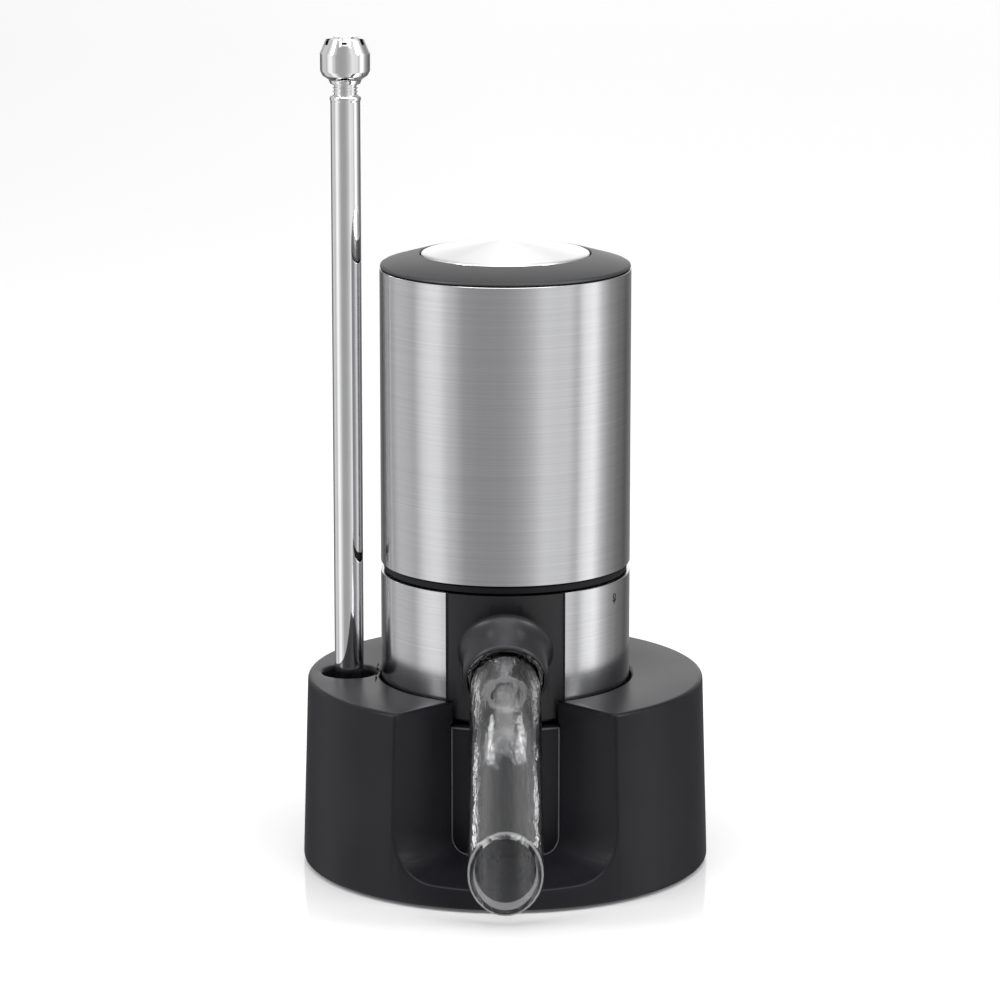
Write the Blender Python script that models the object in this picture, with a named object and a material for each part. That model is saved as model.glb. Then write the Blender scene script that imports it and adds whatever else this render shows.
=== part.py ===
"""Electric wine aerator and dispenser on its stand, with the suction tube stored beside it.

Origin: centre of the stand's underside. +Z is up, the spout points along -Y and the stored
tube stands at -X. Blender works in metres; every size below is in millimetres and goes
through MM.
"""

import math

import bmesh
import bpy
from mathutils import Matrix, Vector

MM = 0.001
GAP = 0.3

# Stand
STAND_FOOT_R = 45.9
STAND_TOP_R = 44.6
STAND_TOP_Z = 43.0
STAND_SKIRT_Z = 0.6
STAND_WALL = 2.2
STAND_FLOOR_Z = 5.0
FLOOR_WALL = 1.6
WELL_WALL_R = 29.0
WELL_BORE_R = 27.2
WELL_LEDGE_R = 24.5
WELL_LEDGE_Z = 37.3
WELL_MOUTH_R = 28.4
RECESS_HALF_WIDTH = 34.5
RECESS_INNER_HALF_WIDTH = 11.3
RECESS_INNER_FLOOR_Z = 8.5
RECESS_CORNER_R = 16.0
RECESS_INNER_CORNER_R = 3.5
PAD_R = 43.0
PAD_T = 1.0
BASE_R = 43.3
STAND_SCREW_R = 37.0
STAND_SCREW_ANGLES = (45, 135, 218, 322)

# Suction tube
TUBE_X = -35.3
TUBE_Y = 0.5
TUBE_HOLE_R = 6.0
TUBE_R = 3.3
INNER_TUBE_R = 2.5
TUBE_FOOT_Z = 5.4
TUBE_TOP_Z = 174.0
NECK_TOP_Z = 177.5
TIP_TOP_Z = 186.6
TIP_R = 5.52

# Dispenser body
BODY_R = 28.0
SLEEVE_T = 1.0
LOWER_Z = 38.8
LOWER_SLEEVE_Z = 39.5
SEAM_Z = 67.2
COVER_Z = 69.3
COVER_TOP_Z = 135.7
WINDOW_HALF_ANGLE = 28.1
PANEL_R = 27.6
HOUSING_R = 26.7
HOUSING_BORE_R = 24.9

# Boss and spout, whose shared axis drops 25 degrees below the horizontal
BOSS_R = 9.25
BOSS_L = 9.5
BOSS_DROP = 25.0
BOSS_Z = 54.5
SPOUT_TOP_R = 7.6
SPOUT_END_R = 8.25
SPOUT_BORE_R = 6.1
SPOUT_BEND_R = 28.0
SPOUT_END_DROP = 74.0
SPOUT_TAIL = 19.1
SPOUT_CUT_SLOPE = 1.117

# Pump and motor
PUMP_R = 12.5
PUMP_Z = 48.6
SWASH_Z = 57.5
SWASH_TILT = 5.0
MOTOR_R = 10.5
MOTOR_Z = 64.7
MOTOR_TOP_Z = 92.0

# Cells and their carrier
CELL_R = 5.25
CELL_L = 43.7
CELL_RING_R = 17.9
CELL_Z = 78.9
CARRIER_R = 23.5
CARRIER_BORE_R = 10.9
CARRIER_TUBE_R = 12.3
CARRIER_Z = 75.6
CARRIER_TOP_Z = 125.8

# Button
BUTTON_R = 18.75
BUTTON_RIM_Z = 139.1
BUTTON_TOP_Z = 141.9

BODY_STEPS = 36
PART_STEPS = 20
SMALL_STEPS = 12
SCREW_STEPS = 8


def clear_scene():
    for obj in list(bpy.data.objects):
        bpy.data.objects.remove(obj, do_unlink=True)


def finish(name, color, roughness, metallic=0.0, transmission=0.0):
    """A Principled material, reused when it already exists."""
    material = bpy.data.materials.get(name) or bpy.data.materials.new(name)
    material.use_nodes = True
    shader = material.node_tree.nodes["Principled BSDF"]
    shader.inputs["Base Color"].default_value = (*color, 1.0)
    shader.inputs["Roughness"].default_value = roughness
    shader.inputs["Metallic"].default_value = metallic
    shader.inputs["Transmission Weight"].default_value = transmission
    return material


def charcoal_plastic():
    return finish("charcoal_plastic", (0.022, 0.023, 0.026), 0.5)


def black_plastic():
    return finish("black_plastic", (0.014, 0.014, 0.015), 0.35)


def grey_plastic():
    return finish("grey_plastic", (0.42, 0.42, 0.4), 0.5)


def brushed_steel():
    return finish("brushed_steel", (0.62, 0.62, 0.61), 0.32, 1.0)


def polished_steel():
    return finish("polished_steel", (0.82, 0.82, 0.82), 0.08, 1.0)


def spring_steel():
    return finish("spring_steel", (0.6, 0.6, 0.6), 0.25, 1.0)


def nickel_strip():
    return finish("nickel_strip", (0.7, 0.68, 0.62), 0.3, 1.0)


def rubber():
    return finish("rubber", (0.02, 0.02, 0.02), 0.8)


def silicone():
    return finish("silicone", (0.06, 0.06, 0.065), 0.6)


def clear_plastic():
    return finish("clear_plastic", (0.95, 0.96, 0.97), 0.03, 0.0, 1.0)


def cell_wrap():
    return finish("cell_wrap", (0.08, 0.16, 0.3), 0.3)


def circuit_board():
    return finish("circuit_board", (0.02, 0.16, 0.07), 0.4)


def object_from(name, bm, material):
    mesh = bpy.data.meshes.new(name)
    bm.to_mesh(mesh)
    bm.free()
    mesh.shade_smooth()
    mesh.set_sharp_from_angle(angle=math.radians(30))
    obj = bpy.data.objects.new(name, mesh)
    bpy.context.scene.collection.objects.link(obj)
    obj.data.materials.append(material)
    return obj


def turned(name, outline, material, steps=PART_STEPS):
    """A solid of revolution about Z. outline lists (radius, height) in mm.

    An outline that starts and ends off the axis is a ring, and its last point joins its first.
    """
    bm = bmesh.new()
    points = [bm.verts.new((r * MM, 0.0, z * MM)) for r, z in outline]
    edges = [bm.edges.new(pair) for pair in zip(points, points[1:])]
    if outline[0][0] > 0.0 and outline[-1][0] > 0.0:
        edges.append(bm.edges.new((points[-1], points[0])))
    bmesh.ops.spin(
        bm,
        geom=points + edges,
        cent=(0.0, 0.0, 0.0),
        axis=(0.0, 0.0, 1.0),
        dvec=(0.0, 0.0, 0.0),
        angle=math.tau,
        steps=steps,
        use_merge=True,
        use_duplicate=False,
    )
    bmesh.ops.remove_doubles(bm, verts=bm.verts[:], dist=1e-7)
    bmesh.ops.recalc_face_normals(bm, faces=bm.faces[:])
    return object_from(name, bm, material)


def disc(radius, low, high):
    """Outline of a plain cylinder."""
    return [(0.0, low), (radius, low), (radius, high), (0.0, high)]


def ring(inner, outer, low, high):
    """Outline of a plain ring."""
    return [(inner, low), (outer, low), (outer, high), (inner, high)]


def prism(name, corners, low, high, material):
    """An upright prism over a flat outline of (x, y) corners in mm."""
    bm = bmesh.new()
    base = bm.faces.new([bm.verts.new((x * MM, y * MM, low * MM)) for x, y in corners])
    grown = bmesh.ops.extrude_face_region(bm, geom=[base])["geom"]
    lifted = [item for item in grown if isinstance(item, bmesh.types.BMVert)]
    bmesh.ops.translate(bm, verts=lifted, vec=(0.0, 0.0, (high - low) * MM))
    bmesh.ops.recalc_face_normals(bm, faces=bm.faces[:])
    return object_from(name, bm, material)


def box(name, low, high, material):
    """An upright block between two corners in mm."""
    (x0, y0, z0), (x1, y1, z1) = low, high
    return prism(name, [(x0, y0), (x1, y0), (x1, y1), (x0, y1)], z0, z1, material)


def sector(radius, middle, half_angle, points=8):
    """Corners of a pie slice about the axis, angles in degrees from +X."""
    first = math.radians(middle - half_angle)
    step = math.radians(2.0 * half_angle) / (points - 1)
    rim = [
        (radius * math.cos(first + i * step), radius * math.sin(first + i * step))
        for i in range(points)
    ]
    return [(0.0, 0.0)] + rim


def arc_strip(inner, outer, middle, half_angle, points=8):
    """Corners of a curved strip about the axis."""
    rim = sector(outer, middle, half_angle, points)[1:]
    back = sector(inner, middle, half_angle, points)[1:]
    return rim + back[::-1]


def swept(name, points, radius, material, resolution=2, scales=None):
    """A round bar through points in mm; scales multiply the radius point by point."""
    curve = bpy.data.curves.new(name, "CURVE")
    curve.dimensions = "3D"
    curve.bevel_depth = radius * MM
    curve.bevel_resolution = resolution
    curve.use_fill_caps = True
    spline = curve.splines.new("POLY")
    spline.points.add(len(points) - 1)
    for i, (x, y, z) in enumerate(points):
        spline.points[i].co = (x * MM, y * MM, z * MM, 1.0)
        spline.points[i].radius = scales[i] if scales else 1.0
    guide = bpy.data.objects.new(name, curve)
    bpy.context.scene.collection.objects.link(guide)
    bm = bmesh.new()
    bm.from_mesh(bpy.data.meshes.new_from_object(guide))
    bpy.data.objects.remove(guide, do_unlink=True)
    bmesh.ops.remove_doubles(bm, verts=bm.verts[:], dist=1e-6)
    bmesh.ops.recalc_face_normals(bm, faces=bm.faces[:])
    return object_from(name, bm, material)


def smooth_route(corners, per_span=5):
    """Points on a Catmull-Rom curve through the corners of a route, in mm."""
    ends = [corners[0]] + list(corners) + [corners[-1]]
    knots = [Vector(corner) for corner in ends]
    route = []
    for a, b, c, d in zip(knots, knots[1:], knots[2:], knots[3:]):
        for i in range(per_span):
            t = i / per_span
            point = b * 2.0 + (c - a) * t
            point += (a * 2.0 - b * 5.0 + c * 4.0 - d) * t**2
            point += (b * 3.0 - a - c * 3.0 + d) * t**3
            route.append(tuple(point * 0.5))
    route.append(tuple(knots[-1]))
    return route


def use_as(operation, obj, tool):
    """Joins a helper to an object, or cuts it away, with an exact Boolean."""
    tool.hide_render = True
    tool.display_type = "WIRE"
    modifier = obj.modifiers.new(tool.name, "BOOLEAN")
    modifier.operation = operation
    modifier.solver = "EXACT"
    modifier.object = tool
    return obj


def cut(obj, *tools):
    for tool in tools:
        use_as("DIFFERENCE", obj, tool)
    return obj


def join(obj, *tools):
    for tool in tools:
        use_as("UNION", obj, tool)
    return obj


def put(obj, x=0.0, y=0.0, z=0.0, turn=(0.0, 0.0, 0.0)):
    """Places an object: mm along each axis, then degrees about each axis."""
    obj.location = (x * MM, y * MM, z * MM)
    obj.rotation_euler = [math.radians(angle) for angle in turn]
    return obj


def on_circle(radius, angle):
    return radius * math.cos(math.radians(angle)), radius * math.sin(math.radians(angle))


# The stand


def recess_loop(bm, y, half_width, floor, corner, points=7):
    """Half a stadium, open upwards: the drip recess seen from the front at one depth."""
    loop = [bm.verts.new((half_width * MM, y * MM, (STAND_TOP_Z + 6.0) * MM))]
    for side in (1, -1):
        for i in range(points):
            angle = math.radians(90.0 * i / (points - 1))
            angle = angle if side > 0 else math.radians(90.0) - angle
            x = side * (half_width - corner + corner * math.cos(angle))
            z = floor + corner - corner * math.sin(angle)
            loop.append(bm.verts.new((x * MM, y * MM, z * MM)))
    loop.append(bm.verts.new((-half_width * MM, y * MM, (STAND_TOP_Z + 6.0) * MM)))
    return [bm.edges.new(pair) for pair in zip(loop, loop[1:] + loop[:1])]


def recess_block(name, grow, stop_r, stop_z):
    """The drip recess as a solid that narrows inwards and stops at the well's wall."""
    bm = bmesh.new()
    outer = recess_loop(
        bm, -47.0, RECESS_HALF_WIDTH + grow, STAND_FLOOR_Z - grow, RECESS_CORNER_R
    )
    inner = recess_loop(
        bm, -26.0, RECESS_INNER_HALF_WIDTH + grow, RECESS_INNER_FLOOR_Z - grow, RECESS_INNER_CORNER_R
    )
    bmesh.ops.bridge_loops(bm, edges=outer + inner)
    bmesh.ops.contextual_create(bm, geom=outer)
    bmesh.ops.contextual_create(bm, geom=inner)
    bmesh.ops.recalc_face_normals(bm, faces=bm.faces[:])
    block = object_from(name, bm, charcoal_plastic())
    well = turned(name + "_stop", disc(stop_r, -1.0, stop_z), charcoal_plastic(), BODY_STEPS)
    return cut(block, well)


def stand_hollow():
    """What is left empty inside the shell, seen from below."""
    roof = STAND_TOP_Z - STAND_WALL
    hollow = turned(
        "stand_hollow",
        disc(STAND_FOOT_R - STAND_WALL, -1.0, STAND_FLOOR_Z - FLOOR_WALL)[:3]
        + [(STAND_TOP_R - STAND_WALL, roof), (0.0, roof)],
        charcoal_plastic(),
        BODY_STEPS,
    )
    low = STAND_FLOOR_Z - FLOOR_WALL
    collar = disc(WELL_WALL_R + 1.4, WELL_LEDGE_Z + GAP, 50.0)
    cut(hollow, turned("well_collar", collar, charcoal_plastic(), BODY_STEPS))
    tube_wall = turned("tube_wall", disc(TUBE_HOLE_R + 1.8, low, 50.0), charcoal_plastic(), 24)
    cut(hollow, put(tube_wall, TUBE_X, TUBE_Y))
    cut(hollow, recess_block("recess_walls", FLOOR_WALL, WELL_WALL_R - 0.6, 60.0))
    for angle in STAND_SCREW_ANGLES:
        x, y = on_circle(STAND_SCREW_R, angle)
        boss = turned(f"boss_{angle}", disc(3.0, low, 50.0), charcoal_plastic(), SCREW_STEPS)
        cut(hollow, put(boss, x, y))
    return hollow


def stand_shell():
    edge = 0.7
    shell = turned(
        "stand_shell",
        [
            (0.0, STAND_SKIRT_Z),
            (STAND_FOOT_R, STAND_SKIRT_Z),
            (STAND_TOP_R, STAND_TOP_Z - edge),
            (STAND_TOP_R - 0.3 * edge, STAND_TOP_Z - 0.25 * edge),
            (STAND_TOP_R - edge, STAND_TOP_Z),
            (0.0, STAND_TOP_Z),
        ],
        charcoal_plastic(),
        BODY_STEPS,
    )
    mouth = turned(
        "well_mouth",
        [
            (0.0, -1.0),
            (WELL_WALL_R + GAP, -1.0),
            (WELL_WALL_R + GAP, WELL_LEDGE_Z + GAP),
            (WELL_MOUTH_R, WELL_LEDGE_Z + GAP),
            (WELL_MOUTH_R, 50.0),
            (0.0, 50.0),
        ],
        charcoal_plastic(),
        BODY_STEPS,
    )
    tube_hole = turned("tube_hole", disc(TUBE_HOLE_R, STAND_FLOOR_Z, 50.0), charcoal_plastic(), 24)
    cut(shell, stand_hollow(), mouth, put(tube_hole, TUBE_X, TUBE_Y))
    cut(shell, recess_block("recess", 0.0, WELL_WALL_R - 0.2, WELL_LEDGE_Z))
    for angle in STAND_SCREW_ANGLES:
        x, y = on_circle(STAND_SCREW_R, angle)
        pilot = turned(f"pilot_{angle}", disc(1.4, 1.0, 13.0), charcoal_plastic(), SCREW_STEPS)
        cut(shell, put(pilot, x, y))
    return shell


def stand_well():
    """The cup that the dispenser stands in; its front shows through the drip recess."""
    low = STAND_FLOOR_Z - FLOOR_WALL
    return turned(
        "stand_well",
        [
            (0.0, low),
            (WELL_WALL_R, low),
            (WELL_WALL_R, WELL_LEDGE_Z),
            (WELL_LEDGE_R, WELL_LEDGE_Z),
            (WELL_LEDGE_R, WELL_LEDGE_Z - 2.0),
            (WELL_BORE_R, WELL_LEDGE_Z - 3.2),
            (WELL_BORE_R, STAND_FLOOR_Z),
            (0.0, STAND_FLOOR_Z),
        ],
        charcoal_plastic(),
        BODY_STEPS,
    )


def stand_base():
    top = STAND_FLOOR_Z - FLOOR_WALL - GAP
    low = PAD_T + GAP
    cover = turned("stand_base_cover", disc(BASE_R, low, top), charcoal_plastic(), BODY_STEPS)
    for number, angle in enumerate(STAND_SCREW_ANGLES, 1):
        x, y = on_circle(STAND_SCREW_R, angle)
        hole = turned(
            f"screw_hole_{number}",
            [(0.0, 0.0), (2.7, 0.0), (2.7, low + 0.9), (1.4, low + 0.9), (1.4, 5.0), (0.0, 5.0)],
            charcoal_plastic(),
            SCREW_STEPS,
        )
        cut(cover, put(hole, x, y))
        screw = turned(
            f"stand_screw_{number}",
            [
                (0.0, low),
                (2.3, low + 0.1),
                (2.3, low + 0.6),
                (1.1, low + 0.6),
                (1.1, 11.5),
                (0.0, 12.4),
            ],
            spring_steel(),
            SCREW_STEPS,
        )
        put(screw, x, y)
    turned("stand_pad", disc(PAD_R, 0.0, PAD_T), rubber(), BODY_STEPS)
    return cover


# The suction tube, stored upright in the stand


def suction_tube():
    low = TUBE_FOOT_Z + 2.4
    outer = turned(
        "tube_outer",
        [
            (TUBE_R - 0.4, low),
            (TUBE_R, low),
            (TUBE_R, TUBE_TOP_Z - 1.2),
            (TUBE_R + 0.15, TUBE_TOP_Z - 0.9),
            (TUBE_R + 0.15, TUBE_TOP_Z - 0.3),
            (TUBE_R - 0.15, TUBE_TOP_Z),
            (TUBE_R - 0.4, TUBE_TOP_Z - 0.1),
        ],
        polished_steel(),
        24,
    )
    put(outer, TUBE_X, TUBE_Y)
    fitting = turned(
        "tube_fitting",
        [
            (1.9, TUBE_FOOT_Z),
            (5.2, TUBE_FOOT_Z),
            (5.5, TUBE_FOOT_Z + 0.4),
            (5.5, TUBE_FOOT_Z + 12.0),
            (4.6, TUBE_FOOT_Z + 14.5),
            (TUBE_R + GAP, TUBE_FOOT_Z + 14.5),
            (TUBE_R + GAP, TUBE_FOOT_Z + 2.0),
            (1.9, TUBE_FOOT_Z + 2.0),
        ],
        silicone(),
        24,
    )
    return outer, put(fitting, TUBE_X, TUBE_Y)


def inner_tube():
    """The thinner tube that draws out, and the slotted tip fixed on its end."""
    bore = INNER_TUBE_R - 0.5
    inner = turned(
        "tube_inner",
        [
            (bore, 60.0),
            (INNER_TUBE_R + 0.1, 60.0),
            (INNER_TUBE_R + 0.1, 63.0),
            (INNER_TUBE_R, 63.4),
            (INNER_TUBE_R, TUBE_TOP_Z + 0.6),
            (INNER_TUBE_R + 0.4, TUBE_TOP_Z + 0.8),
            (INNER_TUBE_R + 0.4, TUBE_TOP_Z + 1.4),
            (INNER_TUBE_R, TUBE_TOP_Z + 1.7),
            (INNER_TUBE_R, NECK_TOP_Z + 4.0),
            (bore, NECK_TOP_Z + 4.0),
        ],
        polished_steel(),
        24,
    )
    put(inner, TUBE_X, TUBE_Y)
    seat = INNER_TUBE_R + GAP
    tip = turned(
        "tube_tip",
        [
            (seat, NECK_TOP_Z - 1.0),
            (seat + 0.5, NECK_TOP_Z - 1.0),
            (seat + 0.9, NECK_TOP_Z),
            (TIP_R - 0.6, NECK_TOP_Z + 0.9),
            (TIP_R, NECK_TOP_Z + 2.0),
            (TIP_R, NECK_TOP_Z + 5.8),
            (TIP_R - 1.4, TIP_TOP_Z),
            (bore, TIP_TOP_Z),
            (bore, NECK_TOP_Z + 4.3),
            (seat, NECK_TOP_Z + 4.3),
        ],
        silicone(),
        24,
    )
    for number in range(3):
        slot = box(
            f"tip_slot_{number}", (-7.0, -0.75, NECK_TOP_Z + 6.0), (7.0, 0.75, 190.0), silicone()
        )
        cut(tip, put(slot, turn=(0.0, 0.0, 30.0 + 60.0 * number)))
        slot.parent = tip
    put(tip, TUBE_X, TUBE_Y)


# The pump unit: lower sleeve, housing with the front panel and the spout boss


def boss_point(length, side=0.0, up=0.0):
    """A point along the boss axis: length from the panel, then sideways and square to the axis."""
    drop = math.radians(BOSS_DROP)
    y = -BODY_R - length * math.cos(drop) - up * math.sin(drop)
    z = BOSS_Z - length * math.sin(drop) + up * math.cos(drop)
    return side, y, z


def on_boss(obj, length=0.0):
    """Turns a piece made along +Z so that it lies along the boss axis."""
    _, y, z = boss_point(length)
    return put(obj, 0.0, y, z, (90.0 + BOSS_DROP, 0.0, 0.0))


def lower_sleeve():
    sleeve = turned(
        "lower_sleeve",
        ring(BODY_R - SLEEVE_T, BODY_R, LOWER_SLEEVE_Z, SEAM_Z),
        brushed_steel(),
        BODY_STEPS,
    )
    window = prism(
        "window", sector(40.0, 270.0, WINDOW_HALF_ANGLE), 30.0, 80.0, brushed_steel()
    )
    return cut(sleeve, window)


def pump_housing():
    top = SEAM_Z - 0.2
    housing = turned(
        "pump_housing",
        [
            (5.4, LOWER_Z),
            (HOUSING_R, LOWER_Z),
            (HOUSING_R, top),
            (HOUSING_BORE_R, top),
            (HOUSING_BORE_R, LOWER_Z + 2.0),
            (5.4, LOWER_Z + 2.0),
        ],
        black_plastic(),
        BODY_STEPS,
    )
    panel = prism(
        "front_panel",
        arc_strip(25.6, PANEL_R, 270.0, WINDOW_HALF_ANGLE - 0.7, 16),
        LOWER_Z,
        top,
        black_plastic(),
    )
    fillet = 2.0
    boss = turned(
        "boss",
        [
            (0.0, -1.5),
            (BOSS_R + fillet, -1.5),
            (BOSS_R + 0.6 * fillet, 1.0),
            (BOSS_R + 0.2 * fillet, 2.6),
            (BOSS_R, 4.4),
            (BOSS_R, BOSS_L - 0.4),
            (BOSS_R - 0.4, BOSS_L),
            (0.0, BOSS_L),
        ],
        black_plastic(),
        PART_STEPS,
    )
    bore = turned(
        "boss_bore",
        [
            (0.0, -1.2),
            (3.4, -1.2),
            (3.4, -0.2),
            (SPOUT_TOP_R + 0.2, -0.2),
            (SPOUT_TOP_R + 0.2, BOSS_L - 3.4),
            (BOSS_R - 0.7, BOSS_L - 3.4),
            (BOSS_R - 0.7, 14.0),
            (0.0, 14.0),
        ],
        black_plastic(),
        PART_STEPS,
    )
    nipple_hole = turned("nipple_hole", disc(2.5, -6.0, 2.0), black_plastic(), SMALL_STEPS)
    inside = turned(
        "housing_inside", disc(HOUSING_BORE_R, LOWER_Z + 2.0, 80.0), black_plastic(), BODY_STEPS
    )
    join(housing, panel, on_boss(boss))
    cut(housing, inside, on_boss(bore), on_boss(nipple_hole))
    for number, angle in enumerate((90, 210, 330), 1):
        x, y = on_circle(18.0, angle)
        hole = turned(f"plate_pilot_{number}", disc(1.2, 30.0, 50.0), black_plastic(), SCREW_STEPS)
        cut(housing, put(hole, x, y))
    return housing


def bottom_plate():
    low = LOWER_Z - 1.2
    plate = turned(
        "bottom_plate", ring(5.4, 25.6, low, LOWER_Z - GAP), black_plastic(), BODY_STEPS
    )
    for number, angle in enumerate((90, 210, 330), 1):
        x, y = on_circle(18.0, angle)
        hole = turned(f"plate_hole_{number}", disc(1.2, 30.0, 50.0), black_plastic(), SCREW_STEPS)
        cut(plate, put(hole, x, y))
        screw = turned(
            f"plate_screw_{number}",
            [
                (0.0, low - 1.6),
                (1.6, low - 1.6),
                (2.1, low - 1.1),
                (2.1, low - GAP),
                (0.9, low - GAP),
                (0.9, LOWER_Z + 2.6),
                (0.0, LOWER_Z + 3.2),
            ],
            spring_steel(),
            SCREW_STEPS,
        )
        put(screw, x, y)
    return plate


def bottle_stopper():
    """A ribbed plug that seals the bottle's mouth."""
    bore = 5.4
    top = LOWER_Z - 1.5
    outline = [(bore, top), (bore, 12.5), (7.6, 12.5)]
    ribs = 4
    for i in range(ribs):
        z = 14.0 + 5.0 * i
        r = 8.3 + 0.35 * i
        outline += [(r, z), (r + 0.9, z + 2.2), (r + 0.9, z + 3.0), (r + 0.1, z + 3.6)]
    outline += [(10.2, 34.4), (13.0, 34.9), (13.0, top)]
    return turned("bottle_stopper", outline[::-1], silicone(), 16)


def dip_connector():
    """The rigid tube through the stopper: wine up its middle, air down its side."""
    floor = LOWER_Z + 2.0
    bottom = 7.6
    connector = turned(
        "dip_connector",
        [
            (0.0, bottom),
            (3.2, bottom),
            (3.4, bottom + 2.8),
            (5.0, 11.5),
            (5.0, floor + GAP),
            (9.0, floor + GAP),
            (9.0, floor + 1.8),
            (5.1, floor + 1.8),
            (5.1, floor + 6.4),
            (0.0, floor + 6.4),
        ],
        grey_plastic(),
        16,
    )
    elbow_z = floor + 3.6
    elbow = turned("connector_elbow", disc(2.0, 2.1, 10.0), grey_plastic(), SMALL_STEPS)
    put(elbow, 0.0, 0.0, elbow_z, (90.0, 0.0, 0.0))
    elbow_bore = turned("elbow_bore", disc(1.1, 0.2, 12.0), grey_plastic(), SCREW_STEPS)
    put(elbow_bore, 0.0, 0.0, elbow_z, (90.0, 0.0, 0.0))
    wine_bore = turned("wine_bore", disc(1.5, 0.0, elbow_z + 1.7), grey_plastic(), SMALL_STEPS)
    air_bore = turned("air_bore", disc(0.7, 9.0, 60.0), grey_plastic(), SCREW_STEPS)
    join(connector, elbow)
    return cut(connector, wine_bore, elbow_bore, put(air_bore, 3.4))


def wine_path():
    """Hose from the connector to the ribbed nipple inside the spout."""
    elbow_z = LOWER_Z + 5.6
    _, rear_y, rear_z = boss_point(-6.5)
    route = smooth_route(
        [
            (0.0, -10.5, elbow_z),
            (0.0, -14.0, elbow_z),
            (0.0, rear_y + 4.6, elbow_z + 0.9),
            (0.0, rear_y + 1.2, elbow_z + 3.6),
            (0.0, rear_y, rear_z - 6.0),
            (0.0, rear_y, rear_z - 4.1),
        ],
        3,
    )
    hose = swept("wine_hose", route, 2.1, silicone(), 2)
    start = Vector(route[0]) + Vector((0.0, 1.0, 0.0))
    end = Vector(route[-1]) + Vector((0.0, 0.0, 1.0))
    cut(hose, swept("hose_bore", [tuple(start)] + route + [tuple(end)], 1.2, silicone(), 1))

    outline = [(0.0, -8.4), (2.2, -8.4), (2.2, -0.8), (2.6, -0.4), (2.8, 1.0)]
    for number in range(5):
        low = 3.0 + 1.8 * number
        outline += [(2.8, low), (2.45, low + 0.1), (2.45, low + 0.6), (2.8, low + 0.7)]
    outline += [(2.8, 11.8), (2.1, 13.0), (1.0, 13.6), (0.0, 13.6)]
    nipple = turned("outlet_nipple", outline, black_plastic(), SMALL_STEPS)
    tail = turned("nipple_tail", disc(1.9, -3.8, 0.7), black_plastic(), SMALL_STEPS)
    put(tail, 0.0, rear_y, rear_z)
    tail_bore = turned("tail_bore", disc(0.9, -6.0, 0.3), black_plastic(), SCREW_STEPS)
    put(tail_bore, 0.0, rear_y, rear_z)
    bore = turned("nipple_bore", disc(1.1, -7.0, 15.0), black_plastic(), SCREW_STEPS)
    join(on_boss(nipple), tail)
    cut(nipple, on_boss(bore), tail_bore)
    return hose


def air_pump():
    """A three-chamber diaphragm pump below the motor."""
    base = turned("pump_base", disc(PUMP_R, PUMP_Z, PUMP_Z + 3.6), black_plastic())
    port = turned("air_port", disc(0.7, 40.0, 60.0), black_plastic(), SCREW_STEPS)
    cut(base, put(port, 3.4))
    seal = turned(
        "air_port_seal",
        ring(0.9, 1.6, LOWER_Z + 8.7, PUMP_Z - GAP),
        silicone(),
        SMALL_STEPS,
    )
    put(seal, 3.4)
    valves = turned(
        "valve_plate", disc(PUMP_R, PUMP_Z + 3.9, PUMP_Z + 4.9), grey_plastic()
    )
    skin = turned(
        "diaphragm", disc(PUMP_R - 0.2, PUMP_Z + 5.2, PUMP_Z + 6.0), silicone()
    )
    low = PUMP_Z + 6.3
    high = MOTOR_Z - GAP
    cage = turned(
        "pump_cage",
        [
            (PUMP_R - 1.4, low),
            (PUMP_R, low),
            (PUMP_R, high),
            (1.6, high),
            (1.6, high - 1.5),
            (PUMP_R - 1.4, high - 1.5),
        ],
        black_plastic(),
    )
    for number, angle in enumerate((30, 150, 270)):
        x, y = on_circle(8.0, angle)
        cup = turned(
            f"cup_{number}", disc(2.4, PUMP_Z + 5.4, PUMP_Z + 6.6), silicone(), SMALL_STEPS
        )
        join(skin, put(cup, x, y))
        hole = turned(
            f"valve_hole_{number}", disc(1.3, PUMP_Z + 2.0, PUMP_Z + 5.05), grey_plastic(), SCREW_STEPS
        )
        put(hole, x, y)
        cut(valves, hole)
        cut(base, hole)
    return cage


def wobble_plate():
    """Three arms on a hub, whose pin leans with the crank."""
    plate = turned("wobble_plate", disc(2.8, -0.6, 0.9), grey_plastic(), SMALL_STEPS)
    pin = turned("wobble_pin", disc(0.8, 0.5, 3.6), grey_plastic(), SCREW_STEPS)
    join(plate, pin)
    pin.parent = plate
    for number, angle in enumerate((30, 150, 270)):
        arm = box(f"wobble_arm_{number}", (1.0, -1.3, -0.6), (9.4, 1.3, 0.6), grey_plastic())
        join(plate, put(arm, turn=(0.0, 0.0, angle)))
        arm.parent = plate
    return put(plate, 0.0, 0.0, SWASH_Z, (0.0, SWASH_TILT, 0.0))


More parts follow.
